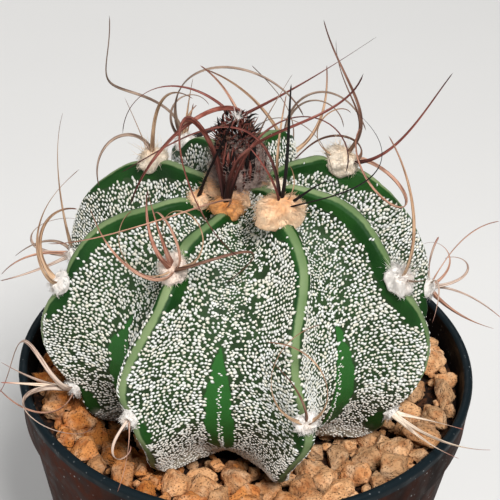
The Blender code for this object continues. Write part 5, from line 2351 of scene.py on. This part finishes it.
# Studio
@dataclass
class Studio:
    """The plain pale floor, soft light and the camera at the photo's angle."""

    elevation: float = 38.09
    distance: float = 550.0
    focal: float = 1916.1
    centre: Pair = (246.27, 361.08)
    roll: float = 2.139
    target: Point = (0.0, 0.0, 100.0)
    frame_size: float = 500.0
    sensor: float = 36.0
    floor_half: float = 6000.0
    lit: Point = (0.0, 0.0, 0.12)

    def floor(self, effects: Effects) -> None:
        """Lay the floor.

        Args:
            effects: Shared node groups.
        """
        half = self.floor_half
        corners = [(-half, -half, 0), (half, -half, 0), (half, half, 0), (-half, half, 0)]
        kit = Paint("floor_paper", effects, {"Specular IOR Level": 0.2})
        tone = kit.patches(6.0, 0.5, 0.4)
        paint = kit.finish(kit.mix(tone, (0.70, 0.69, 0.67), (0.73, 0.72, 0.70)), 0.9)
        mesh_object("floor", corners, [(0, 1, 2, 3)], paint)

    def light(self) -> None:
        """Hang the soft lights and set the pale surroundings."""
        bpy.context.scene.view_settings.view_transform = "Standard"
        for name, spot, size, power in (
            ("key", (0.24, -0.62, 0.98), 0.34, 16.5), ("fill", (-0.75, -0.40, 0.55), 0.6, 2.6),
            ("back", (-0.1, 0.75, 0.7), 0.6, 2.6),
        ):
            lamp = bpy.data.lights.new(name, "AREA")
            lamp.size = size
            lamp.energy = power
            made = linked(name, lamp)
            made.location = spot
            made.rotation_euler = (Vector(self.lit) - Vector(spot)).to_track_quat("-Z", "Y").to_euler()
        world = bpy.data.worlds.new("room")
        world.use_nodes = True
        world.node_tree.nodes["Background"].inputs["Color"].default_value = (0.93, 0.95, 1.0, 1.0)
        world.node_tree.nodes["Background"].inputs["Strength"].default_value = 0.16
        bpy.context.scene.world = world

    def camera(self) -> None:
        """Set the camera where the photo was taken from."""
        lift, roll = math.radians(self.elevation), math.radians(self.roll)
        ahead = Vector((0, math.cos(lift), -math.sin(lift)))
        up = Vector((0, math.sin(lift), math.cos(lift)))
        right = Vector((1, 0, 0))
        side = right * math.cos(roll) + up * math.sin(roll)
        over = up * math.cos(roll) - right * math.sin(roll)
        lens = bpy.data.cameras.new("camera")
        lens.sensor_width = self.sensor
        lens.lens = self.focal / self.frame_size * self.sensor
        lens.shift_x = (self.frame_size / 2 - self.centre[0]) / self.frame_size
        lens.shift_y = (self.centre[1] - self.frame_size / 2) / self.frame_size
        lens.clip_start = 0.01
        turn = Matrix((side, over, -ahead)).transposed().to_4x4()
        turn.translation = (Vector(self.target) - ahead * self.distance) * MM
        made = linked("camera", lens)
        made.matrix_world = turn
        bpy.context.scene.camera = made


def main() -> None:
    """Build every piece in order."""
    logging.basicConfig(level=logging.INFO, format="%(name)s: %(message)s")
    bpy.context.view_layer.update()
    effects = Effects()
    studio = Studio()
    studio.camera()
    studio.light()
    studio.floor(effects)
    shape = PlantShape()
    pot = NurseryPot(effects)
    pot.build()
    frame["nodes"]["potting_mix"].data.materials.clear()
    frame["nodes"]["potting_mix"].data.materials.append(SoilPaint().make(effects))
    GravelBed(shape, pot, effects).build()
    plant = PlantSkin(shape, effects)
    plant.flecks(plant.build())
    paint = SpinePaint().make(effects)
    spines = SpineSet(shape, effects)
    trees = {}
    for wool in Wool:
        finish = WoolPaint(wool).make(effects)
        trees[wool] = (finish, strewn_tree("wool_hair_" + wool.name.lower(), Spread.LOOSE, finish))
    fluff = hair_shapes("fluff", 1.9, 0.10, 1.2, 8, 21)
    wisps = hair_shapes("wisps", 5.2, 0.09, 0.7, 8, 22)
    cushion = WoolCushion(shape, trees, fluff, wisps)
    for key in AREOLES:
        cushion.build(key)
        spines.build(key, paint)
    cleared(fluff)
    cleared(wisps)
    CrownBud(shape, trees, effects).build()


if __name__ == "__main__":
    main()
